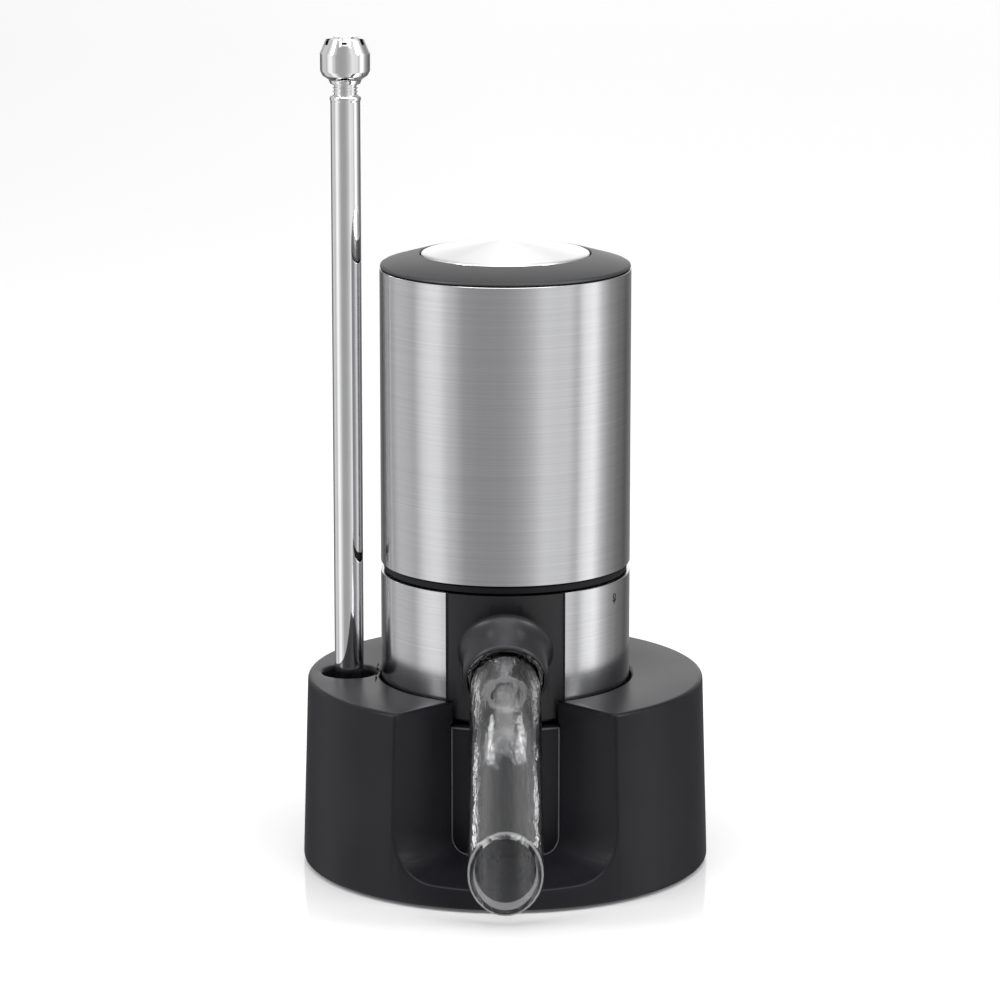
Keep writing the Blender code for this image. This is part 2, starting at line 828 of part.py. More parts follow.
def motor():
    """A small brushed motor standing in the middle of the cell carrier."""
    wall = 0.7
    can = turned(
        "motor_can",
        [
            (2.2, MOTOR_Z),
            (MOTOR_R - 0.6, MOTOR_Z),
            (MOTOR_R, MOTOR_Z + 0.6),
            (MOTOR_R, MOTOR_TOP_Z),
            (MOTOR_R - wall, MOTOR_TOP_Z),
            (MOTOR_R - wall, MOTOR_Z + wall),
            (2.2, MOTOR_Z + wall),
        ],
        polished_steel(),
    )
    for number, middle in enumerate((0.0, 180.0), 1):
        prism(
            f"motor_magnet_{number}",
            arc_strip(7.4, MOTOR_R - wall - GAP, middle, 62.0, 10),
            MOTOR_Z + 4.0,
            MOTOR_TOP_Z - 4.0,
            finish("ferrite", (0.06, 0.06, 0.065), 0.6),
        )
    turned(
        "motor_bush",
        [
            (1.1, MOTOR_Z - 0.2),
            (1.9, MOTOR_Z - 0.2),
            (1.9, MOTOR_Z + wall + GAP),
            (3.0, MOTOR_Z + wall + GAP),
            (3.0, MOTOR_Z + 2.4),
            (1.1, MOTOR_Z + 2.4),
        ],
        finish("sintered_bronze", (0.5, 0.33, 0.14), 0.35, 1.0),
        SMALL_STEPS,
    )
    bell = turned(
        "motor_end_bell",
        [
            (1.3, MOTOR_TOP_Z - 2.2),
            (3.4, MOTOR_TOP_Z - 2.2),
            (3.4, MOTOR_TOP_Z - 0.8),
            (MOTOR_R - wall - GAP, MOTOR_TOP_Z - 0.8),
            (MOTOR_R - wall - GAP, MOTOR_TOP_Z + GAP),
            (MOTOR_R, MOTOR_TOP_Z + GAP),
            (MOTOR_R - 0.5, MOTOR_TOP_Z + 1.9),
            (1.3, MOTOR_TOP_Z + 1.9),
        ],
        black_plastic(),
    )
    return can, bell


def motor_rotor():
    """Crank, shaft, armature and commutator turning as one piece."""
    crank_low = SWASH_Z + 1.7
    rotor = turned(
        "motor_rotor",
        [
            (0.0, crank_low),
            (5.0, crank_low),
            (5.0, crank_low + 2.4),
            (2.4, crank_low + 3.4),
            (1.0, crank_low + 3.6),
            (1.0, MOTOR_Z + 3.0),
            (2.0, MOTOR_Z + 3.4),
            (2.0, MOTOR_Z + 5.0),
            (6.8, MOTOR_Z + 5.4),
            (6.8, MOTOR_TOP_Z - 6.6),
            (2.6, MOTOR_TOP_Z - 6.2),
            (2.6, MOTOR_TOP_Z - 2.8),
            (1.0, MOTOR_TOP_Z - 2.6),
            (1.0, MOTOR_TOP_Z + 2.6),
            (0.0, MOTOR_TOP_Z + 2.6),
        ],
        spring_steel(),
        16,
    )
    for number in range(3):
        slot = box(
            f"armature_slot_{number}",
            (4.4, -0.7, MOTOR_Z + 4.6),
            (9.0, 0.7, MOTOR_TOP_Z - 5.8),
            spring_steel(),
        )
        cut(rotor, put(slot, turn=(0.0, 0.0, 120.0 * number)))
    socket = turned("crank_socket", disc(1.1, -1.0, 3.9), spring_steel(), SCREW_STEPS)
    return cut(rotor, put(socket, 0.0, 0.0, SWASH_Z, (0.0, SWASH_TILT, 0.0)))


# Seam ring, cell carrier and switch


def bayonet_collar():
    """The black ring in the seam; three lugs above it hold the cover down."""
    low = SEAM_Z + GAP
    high = COVER_Z - GAP
    neck_bore = 21.8
    neck_r = 23.3
    collar = turned(
        "bayonet_collar",
        [
            (neck_bore, low),
            (27.3, low),
            (27.3, high),
            (neck_r, high),
            (neck_r, 75.2),
            (neck_bore, 75.2),
        ],
        black_plastic(),
        BODY_STEPS,
    )
    for number, angle in enumerate((30, 150, 270)):
        lug = prism(
            f"collar_lug_{number}", arc_strip(22.6, 24.9, angle, 12.0), 73.2, 75.1, black_plastic()
        )
        join(collar, lug)
    return collar


def battery_carrier():
    """A spool that holds four cells round the motor."""
    floor = CARRIER_Z + 1.8
    roof = CARRIER_TOP_Z - 1.6
    carrier = turned(
        "battery_carrier",
        [
            (CARRIER_BORE_R, CARRIER_Z),
            (CARRIER_R, CARRIER_Z),
            (CARRIER_R, floor),
            (CARRIER_TUBE_R, floor),
            (CARRIER_TUBE_R, roof),
            (CARRIER_R, roof),
            (CARRIER_R, CARRIER_TOP_Z),
            (CARRIER_BORE_R, CARRIER_TOP_Z),
        ],
        black_plastic(),
        36,
    )
    for number in range(4):
        rib = prism(
            f"carrier_rib_{number}",
            [(11.5, -1.0), (15.8, -1.0), (15.8, 1.0), (11.5, 1.0)],
            CARRIER_Z + 0.6,
            CARRIER_TOP_Z - 0.6,
            black_plastic(),
        )
        join(carrier, put(rib, turn=(0.0, 0.0, 90.0 * number)))
    return carrier


def cells():
    """Four cells, turned end for end in pairs, and the strips that join them in series."""
    for number in range(4):
        x, y = on_circle(CELL_RING_R, 45.0 + 90.0 * number)
        up = number % 2 == 0
        outline = [
            (0.0, 0.0),
            (CELL_R - 0.7, 0.0),
            (CELL_R, 0.4),
            (CELL_R, CELL_L - 1.1),
            (CELL_R - 0.6, CELL_L - 0.8),
            (1.9, CELL_L - 0.8),
            (1.9, CELL_L),
            (0.0, CELL_L),
        ]
        if not up:
            outline = [(r, CELL_L - z) for r, z in outline[::-1]]
        cell = turned(f"battery_{number + 1}", outline, cell_wrap(), SMALL_STEPS)
        put(cell, x, y, CELL_Z)
    low = CARRIER_Z + 2.1
    high = CARRIER_TOP_Z - 2.2
    for name, middle, half_angle, z in (
        ("cell_link_bottom_1", 90.0, 52.0, low),
        ("cell_link_bottom_2", 270.0, 52.0, low),
        ("cell_link_top", 0.0, 52.0, high),
        ("cell_terminal_plus", 135.0, 12.0, high),
        ("cell_terminal_minus", 225.0, 12.0, high),
    ):
        strip = prism(
            name, arc_strip(14.6, 21.4, middle, half_angle, 12), z, z + 0.3, nickel_strip()
        )
        if half_angle > 45.0:
            notch = box(
                f"{name}_notch", (10.0, -1.3, z - 1.0), (16.5, 1.3, z + 1.0), nickel_strip()
            )
            cut(strip, put(notch, turn=(0.0, 0.0, middle)))


def switch():
    """A small board across the carrier's top with the push switch under the button."""
    board_z = CARRIER_TOP_Z + GAP
    board = turned("switch_board", disc(15.0, board_z, board_z + 1.2), circuit_board())
    body = box(
        "switch_body", (-3.2, -3.2, board_z + 1.5), (3.2, 3.2, board_z + 3.9), black_plastic()
    )
    bore = turned("switch_bore", disc(1.8, board_z + 1.9, board_z + 6.0), black_plastic(), SMALL_STEPS)
    cut(body, bore)
    turned(
        "switch_plunger",
        [
            (0.0, board_z + 3.3),
            (1.5, board_z + 3.3),
            (1.5, board_z + 5.6),
            (1.2, board_z + 5.9),
            (0.0, board_z + 5.9),
        ],
        grey_plastic(),
        SMALL_STEPS,
    )
    return board


def leads():
    """Two insulated leads from the switch board down to the motor's end."""
    for name, side, color in (
        ("lead_red", 1.0, (0.5, 0.02, 0.02)),
        ("lead_black", -1.0, (0.02, 0.02, 0.02)),
    ):
        corners = [
            (5.4 * side, 0.0, MOTOR_TOP_Z + 2.3),
            (5.4 * side, 0.0, MOTOR_TOP_Z + 5.0),
            (7.2 * side, 2.4, 104.0),
            (7.6 * side, -2.0, 114.0),
            (6.4 * side, 0.0, 121.0),
            (6.0 * side, 0.0, CARRIER_TOP_Z - 0.1),
        ]
        swept(name, smooth_route(corners, 3), 0.65, finish(name + "_skin", color, 0.45), 1)


# The cover, the button and its spring


def cover():
    turned(
        "upper_sleeve",
        ring(BODY_R - SLEEVE_T, BODY_R, COVER_Z, COVER_TOP_Z),
        brushed_steel(),
        BODY_STEPS,
    )
    ceiling = 131.0
    liner = turned(
        "cover_liner",
        [
            (25.3, COVER_Z + GAP),
            (HOUSING_R, COVER_Z + GAP),
            (HOUSING_R, ceiling + 1.4),
            (8.5, ceiling + 1.4),
            (8.5, ceiling),
            (25.3, ceiling),
        ],
        black_plastic(),
        BODY_STEPS,
    )
    for number, angle in enumerate((30, 150, 270)):
        lug = prism(
            f"liner_lug_{number}", arc_strip(23.7, 25.9, angle, 11.0), 70.6, 72.8, black_plastic()
        )
        join(liner, lug)
    bezel = turned(
        "top_bezel",
        [
            (21.2, ceiling + 1.7),
            (HOUSING_R, ceiling + 1.7),
            (HOUSING_R, COVER_TOP_Z + 0.2),
            (BODY_R - 0.1, COVER_TOP_Z + 0.2),
            (27.35, COVER_TOP_Z + 0.9),
            (19.4, BUTTON_RIM_Z - 0.1),
            (19.1, BUTTON_RIM_Z - 0.2),
            (19.1, 135.2),
            (21.2, 135.2),
        ],
        black_plastic(),
        BODY_STEPS,
    )
    return liner, bezel


def push_button():
    """A spun metal cap with a short stem that reaches the switch."""
    under = 136.6
    dome = [(BUTTON_R, BUTTON_RIM_Z - 0.2), (BUTTON_R - 0.2, BUTTON_RIM_Z)]
    steps = 5
    for i in range(1, steps):
        r = (BUTTON_R - 0.2) * (1.0 - i / steps)
        dome.append((r, BUTTON_RIM_Z + (BUTTON_TOP_Z - BUTTON_RIM_Z) * (1.0 - (r / BUTTON_R) ** 2)))
    dome.append((0.0, BUTTON_TOP_Z))
    return turned(
        "push_button",
        [
            (0.0, 132.3),
            (2.2, 132.3),
            (2.2, under),
            (16.9, under),
            (16.9, 133.9),
            (20.3, 133.9),
            (20.3, 134.9),
            (BUTTON_R, 134.9),
        ]
        + dome,
        brushed_steel(),
        36,
    )


def button_spring():
    """A few turns between the cover's ceiling and the button's underside."""
    turns = 3.5
    per_turn = 12
    low = 133.3
    rise = 2.8
    count = int(turns * per_turn)
    points = [
        (
            11.0 * math.cos(math.tau * i / per_turn),
            11.0 * math.sin(math.tau * i / per_turn),
            low + rise * i / count,
        )
        for i in range(count + 1)
    ]
    return swept("button_spring", points, 0.22, spring_steel(), 0)


# The clear spout


def spout_route():
    """Centreline points, each with its distance along the spout from the boss mouth."""
    drop = math.radians(BOSS_DROP)
    last = math.radians(SPOUT_END_DROP)
    _, y, z = boss_point(BOSS_L - 7.4)
    route = [(y, z)]
    _, y, z = boss_point(BOSS_L + 3.0)
    bends = 9
    center_y = y - SPOUT_BEND_R * -math.sin(drop)
    center_z = z - SPOUT_BEND_R * math.cos(drop)
    for i in range(bends + 1):
        angle = drop + (last - drop) * i / bends
        route.append(
            (
                center_y - SPOUT_BEND_R * math.sin(angle),
                center_z + SPOUT_BEND_R * math.cos(angle),
            )
        )
    y, z = route[-1]
    for length in (0.5 * SPOUT_TAIL, SPOUT_TAIL, SPOUT_TAIL + 12.0):
        route.append((y - length * math.cos(last), z - length * math.sin(last)))
    return route


def spout():
    """A bent tube that widens downwards, cut obliquely so that its mouth faces forwards."""
    route = spout_route()
    points = [(0.0, y, z) for y, z in route]
    lengths = [0.0]
    for a, b in zip(points, points[1:]):
        lengths.append(lengths[-1] + (Vector(b) - Vector(a)).length)
    end_length = lengths[-1] - 12.0
    grow = SPOUT_END_R / SPOUT_TOP_R - 1.0
    scales = [1.0 + grow * min(1.0, s / end_length) for s in lengths]
    tube = swept("spout", points, SPOUT_TOP_R, clear_plastic(), 8, scales)

    first = Vector(points[0]) - Vector(points[1])
    start = Vector(points[0]) + first.normalized() * 2.0
    last = Vector(points[-1]) - Vector(points[-2])
    stop = Vector(points[-1]) + last.normalized() * 2.0
    bore_points = [tuple(start)] + points[1:-1] + [tuple(stop)]
    bore = swept("spout_bore", bore_points, SPOUT_BORE_R, clear_plastic(), 6, scales)

    collar = turned(
        "spout_collar",
        disc(BOSS_R - 1.0, BOSS_L - 3.1, BOSS_L - 0.4),
        clear_plastic(),
        PART_STEPS,
    )
    axis = last.normalized()
    front = Vector((0.0, axis.z, -axis.y))
    along_cut = (front - axis * SPOUT_CUT_SLOPE).normalized()
    face = Vector((1.0, 0.0, 0.0)).cross(along_cut)
    face = face if face.dot(axis) > 0.0 else -face
    mouth = Vector(points[-2])
    trimmer = box("mouth_cut", (-20.0, -30.0, 0.0), (20.0, 30.0, 40.0), clear_plastic())
    side = along_cut.cross(face)
    frame = Matrix((side, along_cut, face)).transposed().to_4x4()
    trimmer.matrix_world = Matrix.Translation(mouth * MM) @ frame
    join(tube, on_boss(collar))
    cut(tube, bore, trimmer)
    seal_groove = turned(
        "seal_groove", ring(SPOUT_TOP_R - 0.8, 12.0, 3.2, 4.8), clear_plastic(), PART_STEPS
    )
    return cut(tube, on_boss(seal_groove))


def spout_inner_parts():
    collar = turned(
        "aerator_collar",
        [
            (3.3, 2.6),
            (SPOUT_BORE_R - GAP, 2.6),
            (SPOUT_BORE_R - GAP, 4.2),
            (4.9, 4.8),
            (4.9, 14.6),
            (4.3, 15.2),
            (3.3, 15.2),
        ],
        clear_plastic(),
        24,
    )
    on_boss(collar)
    seal = turned(
        "spout_seal", ring(SPOUT_TOP_R - 0.6, SPOUT_TOP_R - 0.02, 3.5, 4.5), rubber(), PART_STEPS
    )
    on_boss(seal)


def main():
    clear_scene()
    stand_shell()
    stand_well()
    stand_base()
    suction_tube()
    inner_tube()
    lower_sleeve()
    pump_housing()
    bottom_plate()
    bottle_stopper()
    dip_connector()
    wine_path()
    air_pump()
    wobble_plate()
    motor()
    motor_rotor()
    bayonet_collar()
    battery_carrier()
    cells()
    switch()
    leads()
    cover()
    push_button()
    button_spring()
    spout()
    spout_inner_parts()


main()
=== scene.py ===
"""The looks of a wine aerator and dispenser on its stand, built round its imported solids.

Pieces come in the order in which the object goes together: the stand, the pump unit with its
spout, the battery cover with its button, and the suction tube.
"""

import math

import bmesh
import bpy
from mathutils import Matrix, Vector


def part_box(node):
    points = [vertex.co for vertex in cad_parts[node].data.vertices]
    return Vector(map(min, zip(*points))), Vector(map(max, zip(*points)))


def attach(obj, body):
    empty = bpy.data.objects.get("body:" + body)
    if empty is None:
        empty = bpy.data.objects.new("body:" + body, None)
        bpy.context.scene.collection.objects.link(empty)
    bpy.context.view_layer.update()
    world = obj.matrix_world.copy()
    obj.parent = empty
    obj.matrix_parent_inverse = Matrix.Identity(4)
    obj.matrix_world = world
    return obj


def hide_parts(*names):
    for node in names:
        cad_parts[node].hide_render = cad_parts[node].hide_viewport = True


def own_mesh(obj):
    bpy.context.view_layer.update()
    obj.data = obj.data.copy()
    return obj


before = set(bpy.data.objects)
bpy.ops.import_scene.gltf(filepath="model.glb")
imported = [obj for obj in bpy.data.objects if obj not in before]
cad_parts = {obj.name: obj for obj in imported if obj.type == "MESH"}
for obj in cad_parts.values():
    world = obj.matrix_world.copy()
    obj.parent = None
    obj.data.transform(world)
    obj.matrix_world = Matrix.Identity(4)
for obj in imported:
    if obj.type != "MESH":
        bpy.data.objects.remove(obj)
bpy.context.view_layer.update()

# The stand. One black moulding with a fine spark texture: a slightly tapered drum with a round
# well for the dispenser, a hole for the tube and a drip recess whose walls run in to the well.
# Its edges are broken by a small radius, which shows as a paler line.

MM = 0.001
EXACT_TURN = 192

stand_low, stand_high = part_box("stand_shell")
body_low, body_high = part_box("upper_sleeve")
tube_low, tube_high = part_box("tube_outer")
FOOT_R = stand_high.x
BODY_R = body_high.x
TUBE_X = (tube_low.x + tube_high.x) / 2
TUBE_Y = (tube_low.y + tube_high.y) / 2
DECK_Z = stand_high.z
DECK_R = FOOT_R - 1.3 * MM
WELL_R = BODY_R + 0.4 * MM
LEDGE_Z = DECK_Z - 5.7 * MM
LEDGE_R = BODY_R - 3.5 * MM
BORE_R = BODY_R - 0.8 * MM
WELL_WALL_R = BODY_R + 1.0 * MM
RECESS_FLOOR_Z = 5.0 * MM


def add_nodes(material_name):
    """A new material, its node tree and its Principled shader."""
    material = bpy.data.materials.new(material_name)
    material.use_nodes = True
    tree = material.node_tree
    return material, tree, tree.nodes["Principled BSDF"]


def node(tree, kind, settings=None, **sockets):
    """A shader node. A socket is named with _ for a space, or by number, as _0."""
    made = tree.nodes.new("ShaderNode" + kind)
    for name, value in (settings or {}).items():
        setattr(made, name, value)
    for name, value in sockets.items():
        number = name[1:]
        socket = made.inputs[int(number) if number.isdigit() else name.replace("_", " ")]
        if isinstance(value, bpy.types.NodeSocket):
            tree.links.new(value, socket)
        else:
            socket.default_value = value
    return made


def object_place(tree, scale=(1.0, 1.0, 1.0), offset=(0.0, 0.0, 0.0)):
    """Object coordinates, scaled per metre and centred on a piece."""
    place = node(tree, "TexCoord").outputs["Object"]
    return node(tree, "Mapping", Vector=place, Scale=scale, Location=offset).outputs["Vector"]


def ramp(tree, source, *stops):
    """A colour ramp; each stop is (position, grey or colour)."""
    made = node(tree, "ValToRGB", Fac=source)
    bar = made.color_ramp.elements
    while len(bar) < len(stops):
        bar.new(0.5)
    for element, (position, value) in zip(bar, stops):
        element.position = position
        rgb = (value,) * 3 if isinstance(value, float) else value
        element.color = (*rgb, 1.0)
    return made.outputs["Color"]


def surface(shader, **values):
    """Constants set straight on the shader's sockets."""
    for name, value in values.items():
        shader.inputs[name.replace("_", " ")].default_value = value


def tinted(tree, shader, pattern, color, dark, bright=1.0, half=0.2):
    """Colours the surface from a darker to a brighter share of one colour, as the pattern goes."""
    stops = [(0.5 - half, dark), (0.5 + half, bright)]
    tint = ramp(tree, pattern, *[(at, tuple(share * c for c in color)) for at, share in stops])
    tree.links.new(tint, shader.inputs["Base Color"])


def glossed(tree, shader, pattern, low, high, half=0.15):
    """Lets the roughness wander from low to high with the pattern."""
    rough = node(
        tree, "MapRange", Value=pattern, From_Min=0.5 - half, From_Max=0.5 + half,
        To_Min=low, To_Max=high,
    )
    tree.links.new(rough.outputs["Result"], shader.inputs["Roughness"])


def embossed(tree, shader, pattern, strength, distance):
    """Raises the pattern as fine relief."""
    bump = node(tree, "Bump", Height=pattern, Strength=strength, Distance=distance)
    tree.links.new(bump.outputs["Normal"], shader.inputs["Normal"])


def noise(tree, place, scale, detail, **more):
    """A noise pattern at a place on the piece."""
    return node(tree, "TexNoise", Vector=place, Scale=scale, Detail=detail, **more).outputs["Fac"]


def moulded(name, color, roughness, grain=2600.0, depth=0.12, spread=0.05, shine=0.4):
    """Injection-moulded plastic with a fine spark-eroded grain and faint cloudy sheen."""
    material, tree, shader = add_nodes(name)
    fine = noise(tree, object_place(tree), grain, 3.0, Roughness=0.6)
    cloud = noise(tree, object_place(tree), 38.0, 2.0)
    tinted(tree, shader, cloud, color, 0.82, 1.16, 0.15)
    glossed(tree, shader, cloud, roughness - spread, roughness + spread, 0.2)
    embossed(tree, shader, fine, depth, 0.00005)
    surface(shader, Specular_IOR_Level=shine)
    return material


def ring_of(outline):
    """A bmesh that holds an outline of (radius, height), ready to be spun."""
    bm = bmesh.new()
    points = [bm.verts.new((r, 0.0, z)) for r, z in outline]
    edges = [bm.edges.new(pair) for pair in zip(points, points[1:])]
    if outline[0][0] > 0.0 and outline[-1][0] > 0.0:
        edges.append(bm.edges.new((points[-1], points[0])))
    return bm, points + edges


def lathe(outline, steps=EXACT_TURN):
    """A closed solid turned about Z from an outline of (radius, height) in metres."""
    bm, geometry = ring_of(outline)
    bmesh.ops.spin(
        bm, geom=geometry, cent=(0, 0, 0), axis=(0, 0, 1), dvec=(0, 0, 0),
        angle=math.tau, steps=steps, use_merge=True, use_duplicate=False,
    )
    bmesh.ops.remove_doubles(bm, verts=bm.verts[:], dist=1e-7)
    bmesh.ops.recalc_face_normals(bm, faces=bm.faces[:])
    return bm


def rounded(outline, radius, points=4):
    """The outline with each corner turned into a small arc; both ends stay where they are."""
    result = []
    closed = outline[0][0] > 0.0
    count = len(outline)
    for i, corner in enumerate(outline):
        here = Vector(corner)
        if not closed and i in (0, count - 1):
            result.append(corner)
            continue
        before = Vector(outline[i - 1]) - here
        after = Vector(outline[(i + 1) % count]) - here
        reach = min(radius, 0.45 * before.length, 0.45 * after.length)
        start = here + before.normalized() * reach
        end = here + after.normalized() * reach
        for k in range(points + 1):
            t = k / points
            point = start * (1 - t) ** 2 + here * 2 * t * (1 - t) + end * t * t
            result.append(tuple(point))
    return result


def moved(bm, matrix):
    bmesh.ops.transform(bm, matrix=matrix, verts=bm.verts[:])
    return bm


def shown(name, bm, material, sharp=32.0):
    """A mesh object with smooth faces and sharp real edges."""
    mesh = bpy.data.meshes.new(name)
    bm.to_mesh(mesh)
    bm.free()
    mesh.shade_smooth()
    mesh.set_sharp_from_angle(angle=math.radians(sharp))
    mesh.materials.append(material)
    piece = bpy.data.objects.new(name, mesh)
    bpy.context.scene.collection.objects.link(piece)
    return piece


def applied(piece, sharp=32.0):
    """Turns the piece's modifiers into plain mesh."""
    graph = bpy.context.evaluated_depsgraph_get()
    mesh = bpy.data.meshes.new_from_object(piece.evaluated_get(graph))
    piece.modifiers.clear()
    piece.data = mesh
    mesh.shade_smooth()
    mesh.set_sharp_from_angle(angle=math.radians(sharp))
    return piece


def carve(piece, *tools, operation="DIFFERENCE"):
    """Cuts tools away from a piece, or joins them to it, and removes the tools."""
    for tool in tools:
        cutter = piece.modifiers.new("carve", "BOOLEAN")
        cutter.operation = operation
        cutter.solver = "EXACT"
        cutter.object = tool
    bpy.context.view_layer.update()
    applied(piece)
    for tool in tools:
        bpy.data.objects.remove(tool, do_unlink=True)
    return piece


def tool(bm):
    return shown("tool", bm, None)


def clean(piece, distance=2e-6):
    """Merges the crumbs that a Boolean leaves."""
    bm = bmesh.new()
    bm.from_mesh(piece.data)
    bmesh.ops.remove_doubles(bm, verts=bm.verts[:], dist=distance)
    bmesh.ops.dissolve_degenerate(bm, edges=bm.edges[:], dist=distance)
    bm.to_mesh(piece.data)
    bm.free()
    return piece


def belongs(piece, body, slot, *nodes):
    """Rides with its body and stands for its solids, which it hides; the slot is not used."""
    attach(piece, body)
    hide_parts(*nodes)
    return piece


charcoal = moulded("stand_charcoal", (0.0115, 0.0116, 0.0145), 0.34, 2600.0, 0.08, 0.03, 0.2)


RECESS_FRONT_Y = -47.0 * MM
RECESS_BACK_Y = -26.0 * MM


def recess_shape(y, lift):
    """Outline of the drip recess at one depth: a U, open at the top, wider towards the front."""
    t = (y - RECESS_FRONT_Y) / (RECESS_BACK_Y - RECESS_FRONT_Y)
    half = (34.5 - 23.2 * t) * MM
    bottom = RECESS_FLOOR_Z + 3.5 * t * MM
    corner = (16.0 - 12.5 * t) * MM
    points = [(half, lift)]
    for side in (1, -1):
        for i in range(17):
            angle = math.radians(90.0 * (i if side > 0 else 16 - i) / 16)
            x = side * (half - corner + corner * math.cos(angle))
            points.append((x, bottom + corner - corner * math.sin(angle)))
    points.append((-half, lift))
    return points


def recess_tool():
    """The recess as a solid to cut with; it stops at the well's wall."""
    bm = bmesh.new()
    loops = []
    for y in (RECESS_FRONT_Y, RECESS_BACK_Y):
        loop = [bm.verts.new((x, y, z)) for x, z in recess_shape(y, 60.0 * MM)]
        loops.append([bm.edges.new(pair) for pair in zip(loop, loop[1:] + loop[:1])])
    bmesh.ops.bridge_loops(bm, edges=loops[0] + loops[1])
    for loop in loops:
        bmesh.ops.contextual_create(bm, geom=loop)
    bmesh.ops.recalc_face_normals(bm, faces=bm.faces[:])
    return carve(tool(bm), tool(drum(WELL_WALL_R, -5 * MM, LEDGE_Z, EXACT_TURN)))


def drum(radius, low, high, steps=64):
    return lathe([(0.0, low), (radius, low), (radius, high), (0.0, high)], steps)


stand_outline = [(0.0, stand_low.z), (FOOT_R, stand_low.z), (DECK_R, DECK_Z), (0.0, DECK_Z)]
stand = shown("stand", lathe(rounded(stand_outline, 1.1 * MM, 6)), charcoal)
CLEAR_R = WELL_WALL_R + 0.1 * MM
CLEAR_Z = LEDGE_Z + 0.2 * MM
well_outline = [
    (0.0, -5.0 * MM), (CLEAR_R, -5.0 * MM), (CLEAR_R, CLEAR_Z), (WELL_R, CLEAR_Z),
    (WELL_R, DECK_Z - 0.5 * MM), (WELL_R + 0.5 * MM, DECK_Z + 0.1 * MM),
    (WELL_R + 0.5 * MM, DECK_Z + 5 * MM), (0.0, DECK_Z + 5 * MM),
]
hole_outline = [
    (0.0, RECESS_FLOOR_Z), (6.0 * MM, RECESS_FLOOR_Z), (6.0 * MM, DECK_Z - 0.6 * MM),
    (6.6 * MM, DECK_Z + 0.1 * MM), (6.6 * MM, DECK_Z + 5 * MM), (0.0, DECK_Z + 5 * MM),
]
to_tube = Matrix.Translation((TUBE_X, TUBE_Y, 0.0))
tube_hole = tool(moved(lathe(hole_outline, 96), to_tube))
under = tool(drum(FOOT_R - 2.4 * MM, -5 * MM, 3.4 * MM, EXACT_TURN))
carve(stand, tool(lathe(well_outline)), tube_hole, recess_tool(), under)
clean(stand)
stand_bevel = stand.modifiers.new("broken_edges", "BEVEL")
stand_bevel.width = 0.55 * MM
stand_bevel.segments = 3
stand_bevel.limit_method = "ANGLE"
stand_bevel.angle_limit = math.radians(38)
stand_bevel.use_clamp_overlap = False
applied(stand)
belongs(stand, "stand", "charcoal", "stand_shell")

# The well. A separate black cup dropped into the stand from below: the dispenser's base rests on
# its ledge, and its smooth front closes the back of the drip recess under the spout.

CUP_BOTTOM_Z = RECESS_FLOOR_Z - 1.6 * MM
cup_outline = [
    (0.0, CUP_BOTTOM_Z), (WELL_WALL_R, CUP_BOTTOM_Z), (WELL_WALL_R, LEDGE_Z), (LEDGE_R, LEDGE_Z),
    (LEDGE_R, LEDGE_Z - 2.0 * MM), (BORE_R, LEDGE_Z - 3.2 * MM), (BORE_R, RECESS_FLOOR_Z),
    (0.0, RECESS_FLOOR_Z),
]
well_cup = shown("well_cup", lathe(rounded(cup_outline, 0.5 * MM, 3)), charcoal)
belongs(well_cup, "stand", "charcoal", "stand_well")

# The recess's back edge. Where its walls meet the cup, the moulding has a fine rounded lip,
# coloured a little paler than the stand as a painted highlight.


def lip_path():
    """The lip's centre points: round the opening that the recess leaves in front of the cup."""
    points = []
    for k in range(1, len(recess_shape(RECESS_BACK_Y, 0.0)) - 1):
        y = RECESS_BACK_Y
        for _ in range(6):
            x, z = recess_shape(y, 0.0)[k]
            y = -math.sqrt(WELL_WALL_R**2 - x * x)
        points.append((x, y, z))
    high = LEDGE_Z - 0.3 * MM
    (x, y, low), (far_x, far_y, far_low) = points[0], points[-1]
    right = [(x, y, high + (low - high) * i / 8) for i in range(8)]
    left = [(far_x, far_y, far_low + (high - far_low) * i / 8) for i in range(1, 9)]
    half = math.asin(x / WELL_WALL_R)
    turns = [-half + 2 * half * i / 24 for i in range(1, 24)]
    top = [(WELL_WALL_R * math.sin(a), -WELL_WALL_R * math.cos(a), high) for a in turns]
    return right + points + left + top


def beading(path, radius, segments=12, closed=True):
    """A round bead or wire along a path."""
    bm = bmesh.new()
    loops = []
    for i, point in enumerate(path):
        ahead = path[(i + 1) % len(path)] if closed or i + 1 < len(path) else point
        back = path[i - 1] if closed or i else point
        way = Vector(ahead) - Vector(back)
        place = Matrix.Translation(point) @ way.to_track_quat("Z", "Y").to_matrix().to_4x4()
        made = bmesh.ops.create_circle(bm, segments=segments, radius=radius, matrix=place)["verts"]
        loops.append(list({edge for vert in made for edge in vert.link_edges}))
    for i in range(len(loops) if closed else len(loops) - 1):
        bmesh.ops.bridge_loops(bm, edges=loops[i] + loops[(i + 1) % len(loops)])
    if not closed:
        for loop in (loops[0], loops[-1]):
            bmesh.ops.contextual_create(bm, geom=loop)
    bmesh.ops.recalc_face_normals(bm, faces=bm.faces[:])
    return bm


# Painted highlight: the lip gets a paler grey than the stand, so that it shows as a light line.
lip_highlight = moulded("lip_painted_highlight", (0.085, 0.085, 0.092), 0.3, 2600.0, 0.08, 0.05)
lip = shown("recess_lip", beading(lip_path(), 0.2 * MM), lip_highlight)
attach(lip, "stand")

# The sleeves. Two lengths of stainless tube, brushed round and round, so each shows fine level
# scratches and long upright streaks of light. The lower one is cut away in front for the panel.


def turned(tree, shader):
    """Lays the scratches round the part, so that the light is drawn out across them."""
    round_line = node(tree, "Tangent", {"direction_type": "RADIAL", "axis": "Z"})
    tree.links.new(round_line.outputs["Tangent"], shader.inputs["Tangent"])


